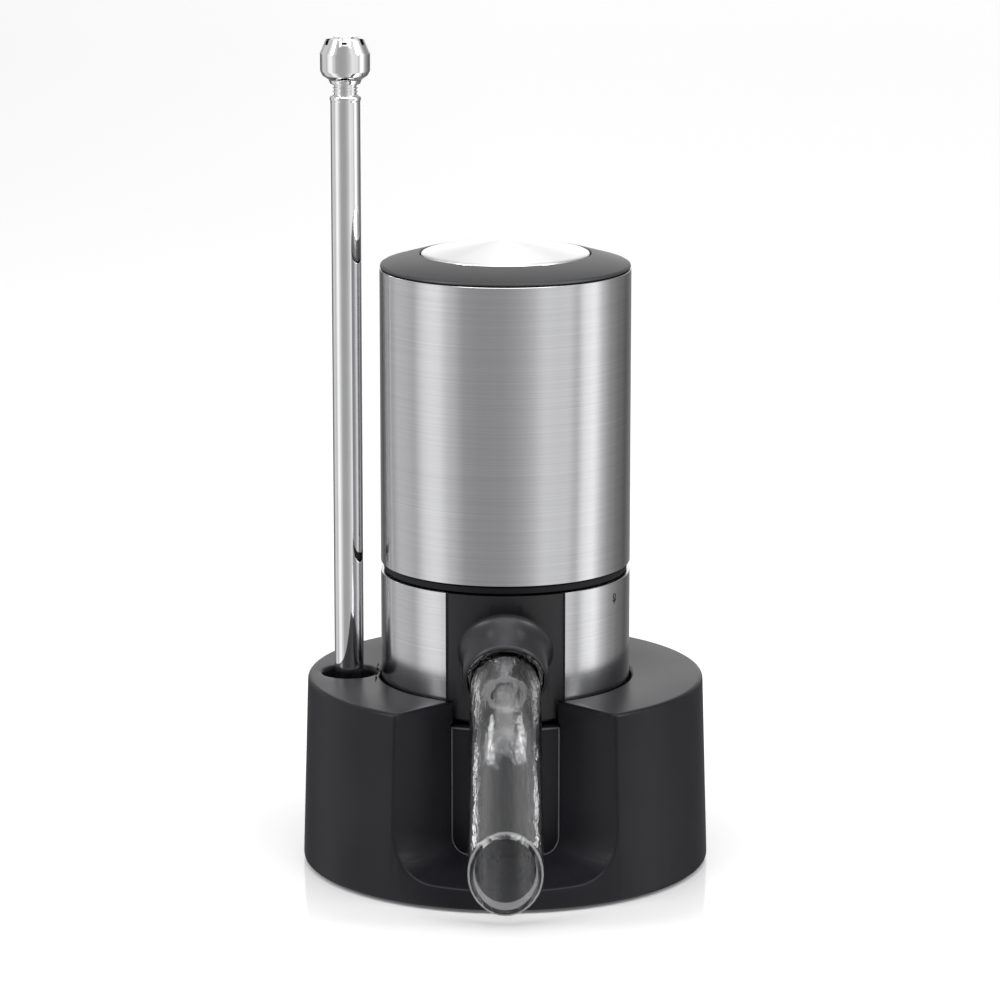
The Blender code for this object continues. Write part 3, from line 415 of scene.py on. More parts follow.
def brushed(name, color, rough_low, rough_high, aniso=0.55):
    """Stainless steel with scratches that run level round the part."""
    material, tree, shader = add_nodes(name)
    surface(shader, Metallic=1.0, Anisotropic=aniso, Anisotropic_Rotation=0.25)
    fine = noise(tree, object_place(tree, (10.0, 10.0, 16000.0)), 1.0, 4.0, Roughness=0.65)
    broad = noise(tree, object_place(tree, (22.0, 22.0, 5200.0)), 1.0, 3.0)
    mix = node(tree, "Mix", {"data_type": "FLOAT"}, Factor=0.4, A=fine, B=broad).outputs["Result"]
    tinted(tree, shader, mix, color, 0.93, 1.07, 0.14)
    glossed(tree, shader, mix, rough_low, rough_high)
    embossed(tree, shader, fine, 0.1, 0.00003)
    turned(tree, shader)
    return material


# Painted highlight: the window's cut faces get a much paler steel than the sleeve, so that they
# show as bright lines.
cut_edge_highlight_steel = brushed("cut_edge_painted_highlight", (0.92, 0.92, 0.93), 0.3, 0.4, 0.0)
steel = brushed("sleeve_steel", (0.66, 0.66, 0.675), 0.15, 0.20)

sleeve_low, sleeve_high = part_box("lower_sleeve")
WINDOW_HALF = math.radians(28.1)
SLEEVE_T = 1.0 * MM


def part_turn(outline, start, angle, steps, end_finish=0):
    """A closed outline turned through part of a circle, with a flat face at each end."""
    bm, geometry = ring_of(outline)
    bmesh.ops.transform(bm, matrix=Matrix.Rotation(start, 4, "Z"), verts=bm.verts[:])
    first = bm.edges[:]
    spun = bmesh.ops.spin(
        bm, geom=geometry, cent=(0, 0, 0), axis=(0, 0, 1), dvec=(0, 0, 0),
        angle=angle, steps=steps, use_merge=False, use_duplicate=False,
    )
    last = [item for item in spun["geom_last"] if isinstance(item, bmesh.types.BMEdge)]
    for ring in (first, last):
        for face in bmesh.ops.contextual_create(bm, geom=ring)["faces"]:
            face.material_index = end_finish
    bmesh.ops.recalc_face_normals(bm, faces=bm.faces[:])
    return bm


def sleeve(name, low, high, gap_half=0.0):
    """A thin tube with rounded rims; gap_half leaves a window at the front."""
    wall = [(BODY_R - SLEEVE_T, low), (BODY_R, low), (BODY_R, high), (BODY_R - SLEEVE_T, high)]
    outline = rounded(wall, 0.25 * MM, 3)
    if not gap_half:
        return shown(name, lathe(outline), steel)
    bm = part_turn(outline, gap_half - math.pi / 2, math.tau - 2 * gap_half, 160, 1)
    piece = shown(name, bm, steel)
    piece.data.materials.append(cut_edge_highlight_steel)
    return piece


lower = sleeve("lower_sleeve_steel", sleeve_low.z, sleeve_high.z, WINDOW_HALF)
belongs(lower, "dispenser", "steel", "lower_sleeve")
upper = sleeve("upper_sleeve_steel", body_low.z, body_high.z)
belongs(upper, "cover", "steel", "upper_sleeve")

# The housing. The black inner moulding of the pump unit: a cup inside the lower sleeve, a front
# panel that fills the sleeve's window a little below its surface, and the boss for the spout.

satin_black = moulded("satin_black", (0.013, 0.013, 0.015), 0.36, 3200.0, 0.08, 0.04, 0.4)
seam_black = moulded("seam_black", (0.008, 0.008, 0.009), 0.5, 3200.0, 0.08, 0.04, 0.2)

BOSS_DROP = math.radians(25.0)
BOSS_ROOT = Vector((0.0, -BODY_R, 54.5 * MM))
BOSS_R = 9.25 * MM
BOSS_L = 9.5 * MM
PANEL_R = BODY_R - 0.6 * MM
PANEL_HALF = WINDOW_HALF - math.radians(0.2)
housing_low, housing_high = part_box("pump_housing")
HOUSING_R = BODY_R - 1.3 * MM
HOUSING_BORE_R = BODY_R - 3.1 * MM
boss_frame = Matrix.Translation(BOSS_ROOT) @ Matrix.Rotation(math.pi / 2 + BOSS_DROP, 4, "X")


def on_boss(bm):
    """Turns a piece made along +Z to lie along the boss axis."""
    return moved(bm, boss_frame)


def curved_slab(inner, outer, half, low, high, steps=48):
    """A strip of cylinder wall at the front."""
    outline = [(inner, low), (outer, low), (outer, high), (inner, high)]
    return part_turn(outline, -math.pi / 2 - half, 2 * half, steps)


HOUSING_FLOOR_Z = housing_low.z + 2 * MM
housing_cup = [
    (5.4 * MM, housing_low.z), (HOUSING_R, housing_low.z), (HOUSING_R, housing_high.z),
    (HOUSING_BORE_R, housing_high.z), (HOUSING_BORE_R, HOUSING_FLOOR_Z),
    (5.4 * MM, HOUSING_FLOOR_Z),
]
housing = shown("front_housing", lathe(housing_cup), satin_black)
panel = tool(curved_slab(25.6 * MM, PANEL_R, PANEL_HALF, housing_low.z, housing_high.z))
FLARE = 1.3 * MM
flare_turns = [math.radians(90.0 * i / 8) for i in range(9)]
boss_outline = [(0.0, -1.5 * MM)]
boss_outline += [
    (BOSS_R + FLARE * (1 - math.sin(a)), -0.4 * MM + 3.2 * FLARE * (1 - math.cos(a)))
    for a in flare_turns
]
boss_outline += [
    (BOSS_R, BOSS_L - 0.8 * MM), (BOSS_R - 0.15 * MM, BOSS_L - 0.3 * MM),
    (BOSS_R - 0.45 * MM, BOSS_L), (0.0, BOSS_L),
]
boss = tool(on_boss(lathe(boss_outline, 96)))
inside = tool(drum(HOUSING_BORE_R, HOUSING_FLOOR_Z, 90 * MM, EXACT_TURN))
SOCKET_STEP = BOSS_L - 3.4 * MM
bore_outline = [
    (0.0, -1.2 * MM), (3.4 * MM, -1.2 * MM), (3.4 * MM, -0.2 * MM), (7.8 * MM, -0.2 * MM),
    (7.8 * MM, SOCKET_STEP), (8.5 * MM, SOCKET_STEP), (8.5 * MM, 14 * MM), (0.0, 14 * MM),
]
boss_bore = tool(on_boss(lathe(bore_outline, 96)))
nipple_hole = tool(on_boss(drum(2.5 * MM, -6 * MM, 2 * MM, 48)))
carve(housing, panel, boss, operation="UNION")
carve(housing, inside, boss_bore, nipple_hole)
clean(housing)
belongs(housing, "dispenser", "black", "pump_housing")

# The seam ring, black and a little smaller than the sleeves, so that it reads as a dark groove.
# Above it stand the lugs that the cover turns under.

seam_low, seam_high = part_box("bayonet_collar")
SEAM_R = BODY_R - 0.7 * MM
SEAM_BORE_R = 21.8 * MM
STEP_R = 23.3 * MM
STEP_Z = body_low.z - 0.3 * MM
seam_outline = [
    (SEAM_BORE_R, seam_low.z), (SEAM_R, seam_low.z), (SEAM_R, STEP_Z), (STEP_R, STEP_Z),
    (STEP_R, seam_high.z), (SEAM_BORE_R, seam_high.z),
]
collar = shown("seam_ring", lathe(rounded(seam_outline, 0.3 * MM, 3)), seam_black)


def lugs(inner, outer, half, low, high):
    """Three short lugs, a third of a turn apart."""
    made = []
    for angle in (30, 150, 270):
        bm = curved_slab(inner, outer, math.radians(half), low, high, 16)
        made.append(tool(moved(bm, Matrix.Rotation(math.radians(angle + 90.0), 4, "Z"))))
    return made


carve(collar, *lugs(22.6 * MM, 24.9 * MM, 12.0, 73.2 * MM, 75.1 * MM), operation="UNION")
belongs(collar, "dispenser", "black", "bayonet_collar")

# The ribbed nipple. A small black moulding that carries the wine through the boss; its rings hold
# nothing by themselves, but they show through the clear spout and break the stream up.

ribs = [(0.0, -4.0), (2.2, -4.0), (2.2, -0.8), (2.6, -0.4), (2.8, 1.0)]
for number in range(5):
    low = 3.0 + 1.8 * number
    ribs += [(2.8, low), (2.45, low + 0.15), (2.45, low + 0.55), (2.8, low + 0.7)]
ribs += [(2.8, 11.8), (2.1, 13.0), (1.1, 13.55), (1.1, 9.0), (0.0, 9.0)]
rib_outline = [(r * MM, z * MM) for r, z in ribs]
nipple = shown("ribbed_nipple", on_boss(lathe(rib_outline, 96)), satin_black)
belongs(nipple, "dispenser", "black", "outlet_nipple")

# The spout. One clear moulding: a flanged spigot that plugs into the boss, a bend of round tube
# that widens a little downwards, and a mouth cut at a slant so that it opens forwards.


def clear_plastic(name, tint, roughness):
    """Clear moulded plastic with a few flow lines left by the moulding."""
    material, tree, shader = add_nodes(name)
    surface(shader, Transmission_Weight=1.0, IOR=1.49, Roughness=roughness)
    place = object_place(tree, (640.0, 210.0, 210.0))
    flow = noise(tree, place, 1.0, 3.0, Roughness=0.55, Distortion=0.8)
    tinted(tree, shader, flow, tint, 0.97)
    embossed(tree, shader, flow, 0.5, 0.0004)
    return material


clear_spout = clear_plastic("spout_clear", (0.985, 0.985, 0.99), 0.015)

SPOUT_TOP_R = 7.6 * MM
SPOUT_END_R = 8.25 * MM
SPOUT_WALL = 1.5 * MM
BEND_R = 28.0 * MM
END_DROP = math.radians(74.0)
TAIL = 19.1 * MM
SPIGOT = 7.4 * MM
STRAIGHT = 3.0 * MM
BEND_L = BEND_R * (END_DROP - BOSS_DROP)
SPOUT_L = SPIGOT + STRAIGHT + BEND_L + TAIL


def down_spout(length):
    """Centre point and drop angle at a distance along the spout from its inner end."""
    mouth = Vector((0.0, -math.cos(BOSS_DROP), -math.sin(BOSS_DROP)))
    start = BOSS_ROOT + mouth * (BOSS_L - SPIGOT)
    straight = SPIGOT + STRAIGHT
    if length <= straight:
        return start + mouth * length, BOSS_DROP
    bend_start = start + mouth * straight
    center = bend_start + BEND_R * Vector((0.0, math.sin(BOSS_DROP), -math.cos(BOSS_DROP)))
    angle = min(BOSS_DROP + (length - straight) / BEND_R, END_DROP)
    point = center + BEND_R * Vector((0.0, -math.sin(angle), math.cos(angle)))
    beyond = max(0.0, length - straight - BEND_L)
    return point + beyond * Vector((0.0, -math.cos(angle), -math.sin(angle))), angle


def spout_bore(length):
    """Bore radius at a distance along the spout."""
    widen = SPOUT_END_R / SPOUT_TOP_R - 1.0
    return (SPOUT_TOP_R - SPOUT_WALL) * (1.0 + widen * min(1.0, length / SPOUT_L))


def spout_skin(length):
    """Outer radius at a distance along the spout."""
    return SPOUT_TOP_R + (SPOUT_END_R - SPOUT_TOP_R) * min(1.0, length / SPOUT_L)


frosted_rim = clear_plastic("frosted_rim", (0.95, 0.95, 0.96), 0.25)
surface(frosted_rim.node_tree.nodes["Principled BSDF"], Transmission_Weight=0.75)


SLANT = 1.117


def swept_rings(bm, stations, segments=96):
    """Closes a ring of stations into a tube wall. The rings never share a centre.

    Each station is a length, a radius, how far its ring leans over to the mouth's slant, and the
    finish of the wall that follows it.
    """
    loops = []
    for length, radius, lean, _ in stations:
        point, angle = down_spout(length)
        way = Vector((0.0, -math.cos(angle), -math.sin(angle)))
        front = Vector((0.0, -math.sin(angle), math.cos(angle)))
        turn = Matrix.Translation(point) @ Matrix.Rotation(math.pi / 2 + angle, 4, "X")
        made = bmesh.ops.create_circle(bm, segments=segments, radius=radius, matrix=turn)["verts"]
        for vert in made:
            vert.co -= way * (SLANT * lean * (vert.co - point).dot(front))
        loops.append(list({edge for vert in made for edge in vert.link_edges}))
    for i, station in enumerate(stations):
        pair = loops[i] + loops[(i + 1) % len(loops)]
        for face in bmesh.ops.bridge_loops(bm, edges=pair)["faces"]:
            face.material_index = station[3]
    bmesh.ops.recalc_face_normals(bm, faces=bm.faces[:])


def along(first, last, count):
    return [first + (last - first) * i / count for i in range(count + 1)]


def leaning(radius_at, first):
    """Stations from a length to the mouth; past the bend the rings lean over bit by bit."""
    bend_end = SPOUT_L - TAIL
    stations = [(s, radius_at(s), 0.0, 0) for s in along(first, bend_end, 40)]
    for lean in along(0.0, 1.0, 20)[1:]:
        length = bend_end + lean * TAIL
        stations.append((length, radius_at(length), lean, 0))
    return stations


def spout_solid():
    """The whole wall: spigot and skin down to the mouth, round its lip, and the bore back up."""
    bm = bmesh.new()
    flange = (
        (0.05, 7.0), (0.1, 7.35), (0.35, 7.6), (1.1, 7.6), (1.12, 6.85), (2.68, 6.85), (2.7, 7.6),
        (4.3, 7.6), (4.32, 8.15), (4.5, 8.25), (6.7, 8.25), (7.0, 8.1), (7.05, 7.75),
    )
    lip = ((-0.2, -0.05), (-0.08, -0.2), (-0.02, -0.5), (0.0, -0.75), (-0.02, -1.0), (-0.08, -1.3))
    outer = [(s * MM, r * MM, 0.0, 0) for s, r in flange] + leaning(spout_skin, 7.5 * MM)[:-1]
    rim = [(SPOUT_L + s * MM, SPOUT_END_R + r * MM, 1.0, int(abs(r + 0.7) > 0.4)) for s, r in lip]
    inner = leaning(spout_bore, 0.02 * MM)[-2:0:-1]
    swept_rings(bm, outer + rim + inner)
    return bm


spout = shown("clear_spout", spout_solid(), clear_spout, 40.0)
spout.data.materials.append(frosted_rim)
belongs(spout, "spout", "clear", "spout")

# The aerator collar. A clear sleeve pressed into the spout's inlet round the nipple, which draws
# air in past the ribs; its rounded end shows through the spout as a bright U.

inlet = [(3.3, 2.6), (5.8, 2.6), (5.8, 4.2), (4.9, 4.8), (4.9, 15.1), (3.3, 15.1)]
collar_outline = rounded([(r * MM, z * MM) for r, z in inlet], 0.45 * MM, 4)
aerator = shown("aerator_sleeve", on_boss(lathe(collar_outline, 96)), clear_spout)
boss_way = (boss_frame.to_3x3() @ Vector((0.0, 0.0, 1.0))).normalized()
aerator.data.materials.append(frosted_rim)
for face in aerator.data.polygons:
    face.material_index = int((face.center - BOSS_ROOT).dot(boss_way) > 14.85 * MM)
belongs(aerator, "spout", "clear", "aerator_collar")

# The spout's seal. A black rubber ring that lies in the spigot's groove: it keeps the joint tight
# and lets the spout turn stiffly.

rubber = moulded("seal_rubber", (0.018, 0.018, 0.018), 0.55, 1500.0, 0.2, 0.05)
groove = [(7.0, 3.5), (7.58, 3.5), (7.58, 4.5), (7.0, 4.5)]
seal_section = rounded([(r * MM, z * MM) for r, z in groove], 0.4 * MM, 5)
seal = shown("spout_ring_seal", on_boss(lathe(seal_section, 96)), rubber)
belongs(seal, "spout", "rubber", "spout_seal")

# The underside of the pump unit. A flat black plate held by three screws, and below it the grey
# silicone stopper, whose soft ribs seal the bottle's mouth, with the connector's tip inside it.

plate_low, plate_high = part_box("bottom_plate")
PLATE_R = 25.6 * MM
PLATE_BORE_R = 5.4 * MM
plate_outline = [
    (PLATE_BORE_R, plate_low.z), (PLATE_R, plate_low.z), (PLATE_R, plate_high.z),
    (PLATE_BORE_R, plate_high.z),
]
bottom = shown("bottom_disc", lathe(rounded(plate_outline, 0.25 * MM, 3)), satin_black)
PLATE_SCREWS = (90, 210, 330)
PLATE_SCREW_CIRCLE = 18 * MM


def round_place(radius, angle):
    """A transform to a point on a circle round the middle; radius in metres, angle in degrees."""
    turn = math.radians(angle)
    return Matrix.Translation((radius * math.cos(turn), radius * math.sin(turn), 0.0))


places = [round_place(PLATE_SCREW_CIRCLE, angle) for angle in PLATE_SCREWS]
carve(bottom, *[tool(moved(drum(1.2 * MM, 30 * MM, 50 * MM, 32), place)) for place in places])
belongs(bottom, "dispenser", "black", "bottom_plate")


def chrome(name, color, rough_low, rough_high):
    """Polished chrome plate with the faint bloom and hair scratches of handling."""
    material, tree, shader = add_nodes(name)
    surface(shader, Metallic=1.0)
    bloom = noise(tree, object_place(tree), 120.0, 3.0)
    hairs = noise(tree, object_place(tree, (5200.0, 5200.0, 60.0)), 1.0, 2.0)
    tinted(tree, shader, bloom, color, 0.94)
    mixed = node(tree, "Mix", {"data_type": "FLOAT"}, Factor=0.5, A=bloom, B=hairs)
    glossed(tree, shader, mixed.outputs["Result"], rough_low, rough_high)
    return material


zinc = chrome("zinc_plate", (0.68, 0.68, 0.70), 0.18, 0.32)


def screw_at(name, place, low, head_r, head_h, shank_r, high):
    """A pan-head screw seen from below, with a cross recess."""
    outline = [
        (0.0, low), (0.8 * head_r, low), (head_r, low + 0.45 * head_h), (head_r, low + head_h),
        (shank_r, low + head_h), (shank_r, high - shank_r), (0.2 * shank_r, high), (0.0, high),
    ]
    piece = shown(name, moved(lathe(outline, 48), place), zinc)
    bars = []
    for turn in (0.0, math.pi / 2):
        bm = bmesh.new()
        at = place @ Matrix.Translation((0.0, 0.0, low)) @ Matrix.Rotation(turn, 4, "Z")
        shape = at @ Matrix.Diagonal((1.3 * head_r, 0.3 * head_r, head_h, 1.0))
        bmesh.ops.create_cube(bm, size=1.0, matrix=shape)
        bars.append(tool(bm))
    return carve(piece, *bars)


for number, place in enumerate(places, 1):
    low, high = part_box(f"plate_screw_{number}")
    fixing = screw_at(f"plate_fixing_{number}", place, low.z, 2.05 * MM, 1.3 * MM, 0.9 * MM, high.z)
    belongs(fixing, "dispenser", "spring", f"plate_screw_{number}")

silicone_grey = moulded("stopper_silicone", (0.060, 0.060, 0.065), 0.5, 1400.0, 0.15, 0.06)
plug_low, plug_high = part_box("bottle_stopper")
plug = [(5.4 * MM, plug_high.z), (5.4 * MM, plug_low.z), (7.6 * MM, plug_low.z)]
for i in range(4):
    z = 14.0 + 5.0 * i
    r = 8.3 + 0.35 * i
    rib = [(r, z), (r + 0.9, z + 2.2), (r + 0.9, z + 3.0), (r + 0.1, z + 3.6)]
    plug += [(x * MM, y * MM) for x, y in rib]
plug += [(10.2 * MM, 34.4 * MM), (13.0 * MM, 34.9 * MM), (13.0 * MM, plug_high.z)]
stopper = shown("ribbed_stopper", lathe(rounded(plug[::-1], 0.6 * MM, 3)), silicone_grey, 50.0)
belongs(stopper, "dispenser", "silicone", "bottle_stopper")

# The connector. A natural grey moulding through the stopper: wine rises up its middle to the hose,
# air goes down beside it. Its tapered lower end plugs into the suction tube's fitting.

natural = moulded("natural_grey", (0.42, 0.42, 0.40), 0.42, 2200.0, 0.1, 0.06)


def finish_nodes(material, *names):
    """Gives solids that keep their own shape a finish."""
    for name in names:
        for slot in bpy.data.objects[name].material_slots:
            slot.material = material


finish_nodes(natural, "dip_connector", "valve_plate", "wobble_plate", "switch_plunger")

# The wine hose and the pump's two soft parts, the port seal and the diaphragm. All three are
# moulded in the same grey silicone as the stopper.

finish_nodes(silicone_grey, "wine_hose", "air_port_seal", "diaphragm")

# The black mouldings inside. The pump's base and cage are clamped under the motor; the motor's
# end bell, the switch and the carrier for the cells are above them.

finish_nodes(satin_black, "pump_base", "pump_cage", "motor_end_bell")
finish_nodes(satin_black, "switch_body", "battery_carrier")

# The motor. A drawn and nickel-plated can with a crimped black end; inside it two dark ferrite
# arcs, a bronze bush, and the armature, whose steel stack carries the enamelled windings.

plate_steel = chrome("nickel_plate", (0.72, 0.70, 0.66), 0.16, 0.28)
can_low, can_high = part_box("motor_can")
CAN_R = 10.5 * MM
CAN_WALL = 0.7 * MM
CAN_HOLE_R = 2.2 * MM
can_outline = [
    (CAN_HOLE_R, can_low.z), (CAN_R, can_low.z), (CAN_R, can_high.z),
    (CAN_R - CAN_WALL, can_high.z), (CAN_R - CAN_WALL, can_low.z + CAN_WALL),
    (CAN_HOLE_R, can_low.z + CAN_WALL),
]
can = shown("drawn_can", lathe(rounded(can_outline, 0.5 * MM, 4), 96), plate_steel, 45.0)
belongs(can, "dispenser", "polished", "motor_can")


def grained(name, color, metallic, rough, scale, depth, contrast):
    """A plain industrial finish: two mottled tones, uneven gloss and a little relief."""
    material, tree, shader = add_nodes(name)
    surface(shader, Metallic=metallic)
    grain = noise(tree, object_place(tree), scale, 5.0, Roughness=0.6)
    tinted(tree, shader, grain, color, 1.0 - contrast, 1.0 + contrast, 0.12)
    glossed(tree, shader, grain, rough - 0.08, rough + 0.08)
    embossed(tree, shader, grain, depth, 0.0001)
    return material


ferrite = grained("ferrite_grey", (0.055, 0.055, 0.06), 0.0, 0.62, 1800.0, 0.3, 0.25)
finish_nodes(ferrite, "motor_magnet_1", "motor_magnet_2")
bronze = grained("sintered_bronze", (0.48, 0.32, 0.14), 1.0, 0.42, 5200.0, 0.35, 0.12)
finish_nodes(bronze, "motor_bush")


def armature():
    """Steel where the shaft and crank are, copper-brown where the windings and slots are."""
    material, tree, shader = add_nodes("armature_steel_and_copper")
    surface(shader, Metallic=1.0)
    height = node(tree, "SeparateXYZ", Vector=object_place(tree)).outputs["Z"]
    level = node(
        tree, "MapRange", Value=height, From_Min=55.0 * MM, From_Max=95.0 * MM,
        To_Min=0.0, To_Max=1.0,
    )
    bands = ramp(
        tree, level.outputs["Result"],
        (0.0, (0.50, 0.50, 0.52)), (0.36, (0.50, 0.50, 0.52)), (0.37, (0.55, 0.22, 0.09)),
        (0.76, (0.55, 0.22, 0.09)), (0.77, (0.62, 0.38, 0.20)), (1.0, (0.55, 0.55, 0.57)),
    )
    tree.links.new(bands, shader.inputs["Base Color"])
    turns = noise(tree, object_place(tree, (60.0, 60.0, 5200.0)), 1.0, 3.0)
    glossed(tree, shader, turns, 0.2, 0.45, 0.5)
    embossed(tree, shader, turns, 0.3, 0.00008)
    return material


finish_nodes(armature(), "motor_rotor")

# The four cells. Each is a crimped steel can in a plain blue wrap with a gold shoulder; the
# bare nickel button stands up at one end. They stand end for end in pairs round the motor.

wrap = grained("cell_wrap", (0.055, 0.12, 0.26), 0.0, 0.28, 240.0, 0.05, 0.08)
shoulder = grained("cell_gold_wrap", (0.50, 0.33, 0.08), 0.6, 0.3, 240.0, 0.05, 0.08)
CELL_R = 5.25 * MM
for number in range(1, 5):
    low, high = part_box(f"battery_{number}")
    length = high.z - low.z
    outline = [
        (0.0, 0.0), (3.6 * MM, 0.0), (3.9 * MM, 0.25 * MM), (CELL_R - 0.5 * MM, 0.15 * MM),
        (CELL_R, 0.5 * MM), (CELL_R, length - 1.3 * MM), (CELL_R - 0.5 * MM, length - 0.9 * MM),
        (3.4 * MM, length - 1.0 * MM), (1.95 * MM, length - 0.85 * MM),
        (1.85 * MM, length - 0.1 * MM), (1.7 * MM, length), (0.0, length),
    ]
    if number % 2 == 0:
        outline = [(r, length - z) for r, z in outline[::-1]]
    middle = (low + high) / 2
    stood = moved(lathe(outline, 64), Matrix.Translation((middle.x, middle.y, low.z)))
    cell = shown(f"cell_{number}", stood, wrap, 40.0)
    cell.data.materials.append(shoulder)
    cell.data.materials.append(plate_steel)
    for face in cell.data.polygons:
        away = Vector((face.center.x - middle.x, face.center.y - middle.y)).length
        rise = face.center.z - low.z if number % 2 else high.z - face.center.z
        if away < 4.6 * MM:
            face.material_index = 2
        elif rise > 0.72 * length:
            face.material_index = 1
    belongs(cell, "dispenser", "cell", f"battery_{number}")

# The cell contacts. Flat springs punched from nickel strip: three join the cells in a row, and two
# take the current to the switch board.

finish_nodes(
    brushed("nickel_strip", (0.70, 0.68, 0.62), 0.25, 0.35, 0.2),
    "cell_link_bottom_1", "cell_link_bottom_2", "cell_link_top", "cell_terminal_plus",
    "cell_terminal_minus",
)

# The switch board and its wiring. A small green glass-fibre board under solder mask carries the
# switch, and two thin insulated leads run down to the motor.

solder_mask = grained("solder_mask", (0.015, 0.12, 0.05), 0.0, 0.3, 900.0, 0.15, 0.2)
finish_nodes(solder_mask, "switch_board")
red = grained("red_insulation", (0.45, 0.02, 0.02), 0.0, 0.4, 700.0, 0.08, 0.12)
finish_nodes(red, "lead_red")
black = grained("black_insulation", (0.02, 0.02, 0.02), 0.0, 0.4, 700.0, 0.08, 0.2)
finish_nodes(black, "lead_black")

# The stand's underside. A black cover closes the shell from below, held by four screws that sit
# under a thin rubber pad glued on last.

base_low, base_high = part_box("stand_base_cover")
BASE_R = 43.3 * MM
base_outline = [(0.0, base_low.z), (BASE_R, base_low.z), (BASE_R, base_high.z), (0.0, base_high.z)]
under_cover = shown("stand_under_cover", lathe(rounded(base_outline, 0.3 * MM, 3)), charcoal)
STAND_SCREWS = (45, 135, 218, 322)
places = [round_place(37 * MM, angle) for angle in STAND_SCREWS]
SINK_R = 2.7 * MM
SHANK_R = 1.4 * MM
SINK_Z = base_low.z + 0.9 * MM
sink = [
    (0.0, 0.0), (SINK_R, 0.0), (SINK_R, SINK_Z), (SHANK_R, SINK_Z), (SHANK_R, 5.0 * MM),
    (0.0, 5.0 * MM),
]
sinks = [tool(moved(lathe(sink, 48), place)) for place in places]
carve(under_cover, *sinks)
belongs(under_cover, "stand", "charcoal", "stand_base_cover")
for number, place in enumerate(places, 1):
    low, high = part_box(f"stand_screw_{number}")
    head_z = low.z + 0.1 * MM
    fixing = screw_at(
        f"stand_fixing_{number}", place, head_z, 2.3 * MM, 0.5 * MM, 1.1 * MM, high.z
    )
    belongs(fixing, "stand", "spring", f"stand_screw_{number}")

pad_low, pad_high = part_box("stand_pad")
PAD_R = 43.0 * MM
pad_outline = [(0.0, pad_low.z), (PAD_R, pad_low.z), (PAD_R, pad_high.z), (0.0, pad_high.z)]
foot = shown("rubber_foot", lathe(rounded(pad_outline, 0.3 * MM, 4)), rubber)
belongs(foot, "stand", "rubber", "stand_pad")

# The cover. The upper sleeve is lined with black plastic and closed by a black sloping ring, whose
# rim overlaps the steel and leaves a thin dark line all round.

liner_low, liner_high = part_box("cover_liner")
CEILING_Z = liner_high.z - 1.4 * MM
LINER_R = 26.7 * MM
LINER_BORE_R = 25.3 * MM
liner_outline = [
    (LINER_BORE_R, liner_low.z), (LINER_R, liner_low.z), (LINER_R, liner_high.z),
    (8.5 * MM, liner_high.z), (8.5 * MM, CEILING_Z), (LINER_BORE_R, CEILING_Z),
]
liner = shown("sleeve_liner", lathe(liner_outline), satin_black)
carve(liner, *lugs(23.7 * MM, 25.9 * MM, 11.0, 70.6 * MM, 72.8 * MM), operation="UNION")
belongs(liner, "cover", "black", "cover_liner")

bezel_black = moulded("bezel_black", (0.030, 0.030, 0.032), 0.40, 3000.0, 0.1, 0.04)
COVER_TOP = body_high.z
bezel_outline = [
    (21.2 * MM, 132.7 * MM), (26.6 * MM, 132.7 * MM), (26.6 * MM, COVER_TOP + 0.15 * MM),
    (BODY_R - 0.45 * MM, COVER_TOP + 0.15 * MM), (BODY_R - 0.12 * MM, COVER_TOP + 0.4 * MM),
    (BODY_R - 0.2 * MM, COVER_TOP + 0.75 * MM), (BODY_R - 0.7 * MM, COVER_TOP + 1.05 * MM),
    (19.55 * MM, 138.95 * MM), (19.2 * MM, 138.95 * MM), (19.05 * MM, 138.7 * MM),
    (19.05 * MM, 135.2 * MM), (21.2 * MM, 135.2 * MM),
]
bezel = shown("sloping_ring", lathe(bezel_outline), bezel_black, 50.0)
belongs(bezel, "cover", "black", "top_bezel")

# The alignment mark. A short upright line filled with black paint near the cover's rim: it meets
# its partner on the lower sleeve when the cover is locked.


def on_sleeve(angle, height):
    """Places a piece made flat in XZ at the front onto the sleeve at an angle and a height."""
    return Matrix.Rotation(math.radians(angle), 4, "Z") @ Matrix.Translation((0.0, -BODY_R, height))


def paint_line(bm, x, z, width, length):
    """A thin bar of paint that stands a hair proud of the metal."""
    shape = Matrix.Diagonal((width, 0.05 * MM, length, 1.0))
    bmesh.ops.create_cube(bm, size=1.0, matrix=Matrix.Translation((x, 0.0, z)) @ shape)


paint = moulded("black_paint", (0.012, 0.012, 0.013), 0.5, 3000.0, 0.1, 0.05)
mark_bm = bmesh.new()
paint_line(mark_bm, 0.0, 0.0, 0.35 * MM, 1.5 * MM)
bmesh.ops.bevel(
    mark_bm, geom=mark_bm.edges[:], offset=0.015 * MM, segments=2, profile=0.5, affect="EDGES",
    material=-1,
)
cover_mark = shown("cover_mark", moved(mark_bm, on_sleeve(-69.5, 71.6 * MM)), paint)
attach(cover_mark, "cover")

# The lock mark, painted on the lower sleeve where the cover's line ends its turn: a small closed
# ring over a bar.

hoop = [(0.36 * MM, 0.0), (0.62 * MM, 0.0), (0.62 * MM, 0.05 * MM), (0.36 * MM, 0.05 * MM)]
lock_bm = lathe(hoop, 32)
moved(lock_bm, Matrix.Translation((0.0, 0.0, 0.75 * MM)) @ Matrix.Rotation(math.pi / 2, 4, "X"))
for x, z, width, length in ((0.0, -0.18, 1.5, 0.5), (0.0, -0.7, 0.4, 0.56)):
    paint_line(lock_bm, x * MM, z * MM, width * MM, length * MM)
lock_mark = shown("lock_mark", moved(lock_bm, on_sleeve(60.0, 63.2 * MM)), paint)
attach(lock_mark, "dispenser")

# The button. A shallow metal dish spun on a lathe: its turning marks run round the middle, so the
# light fans out from the centre. A black skirt and a stem hold it in the cover.

BUTTON_R = 18.75 * MM


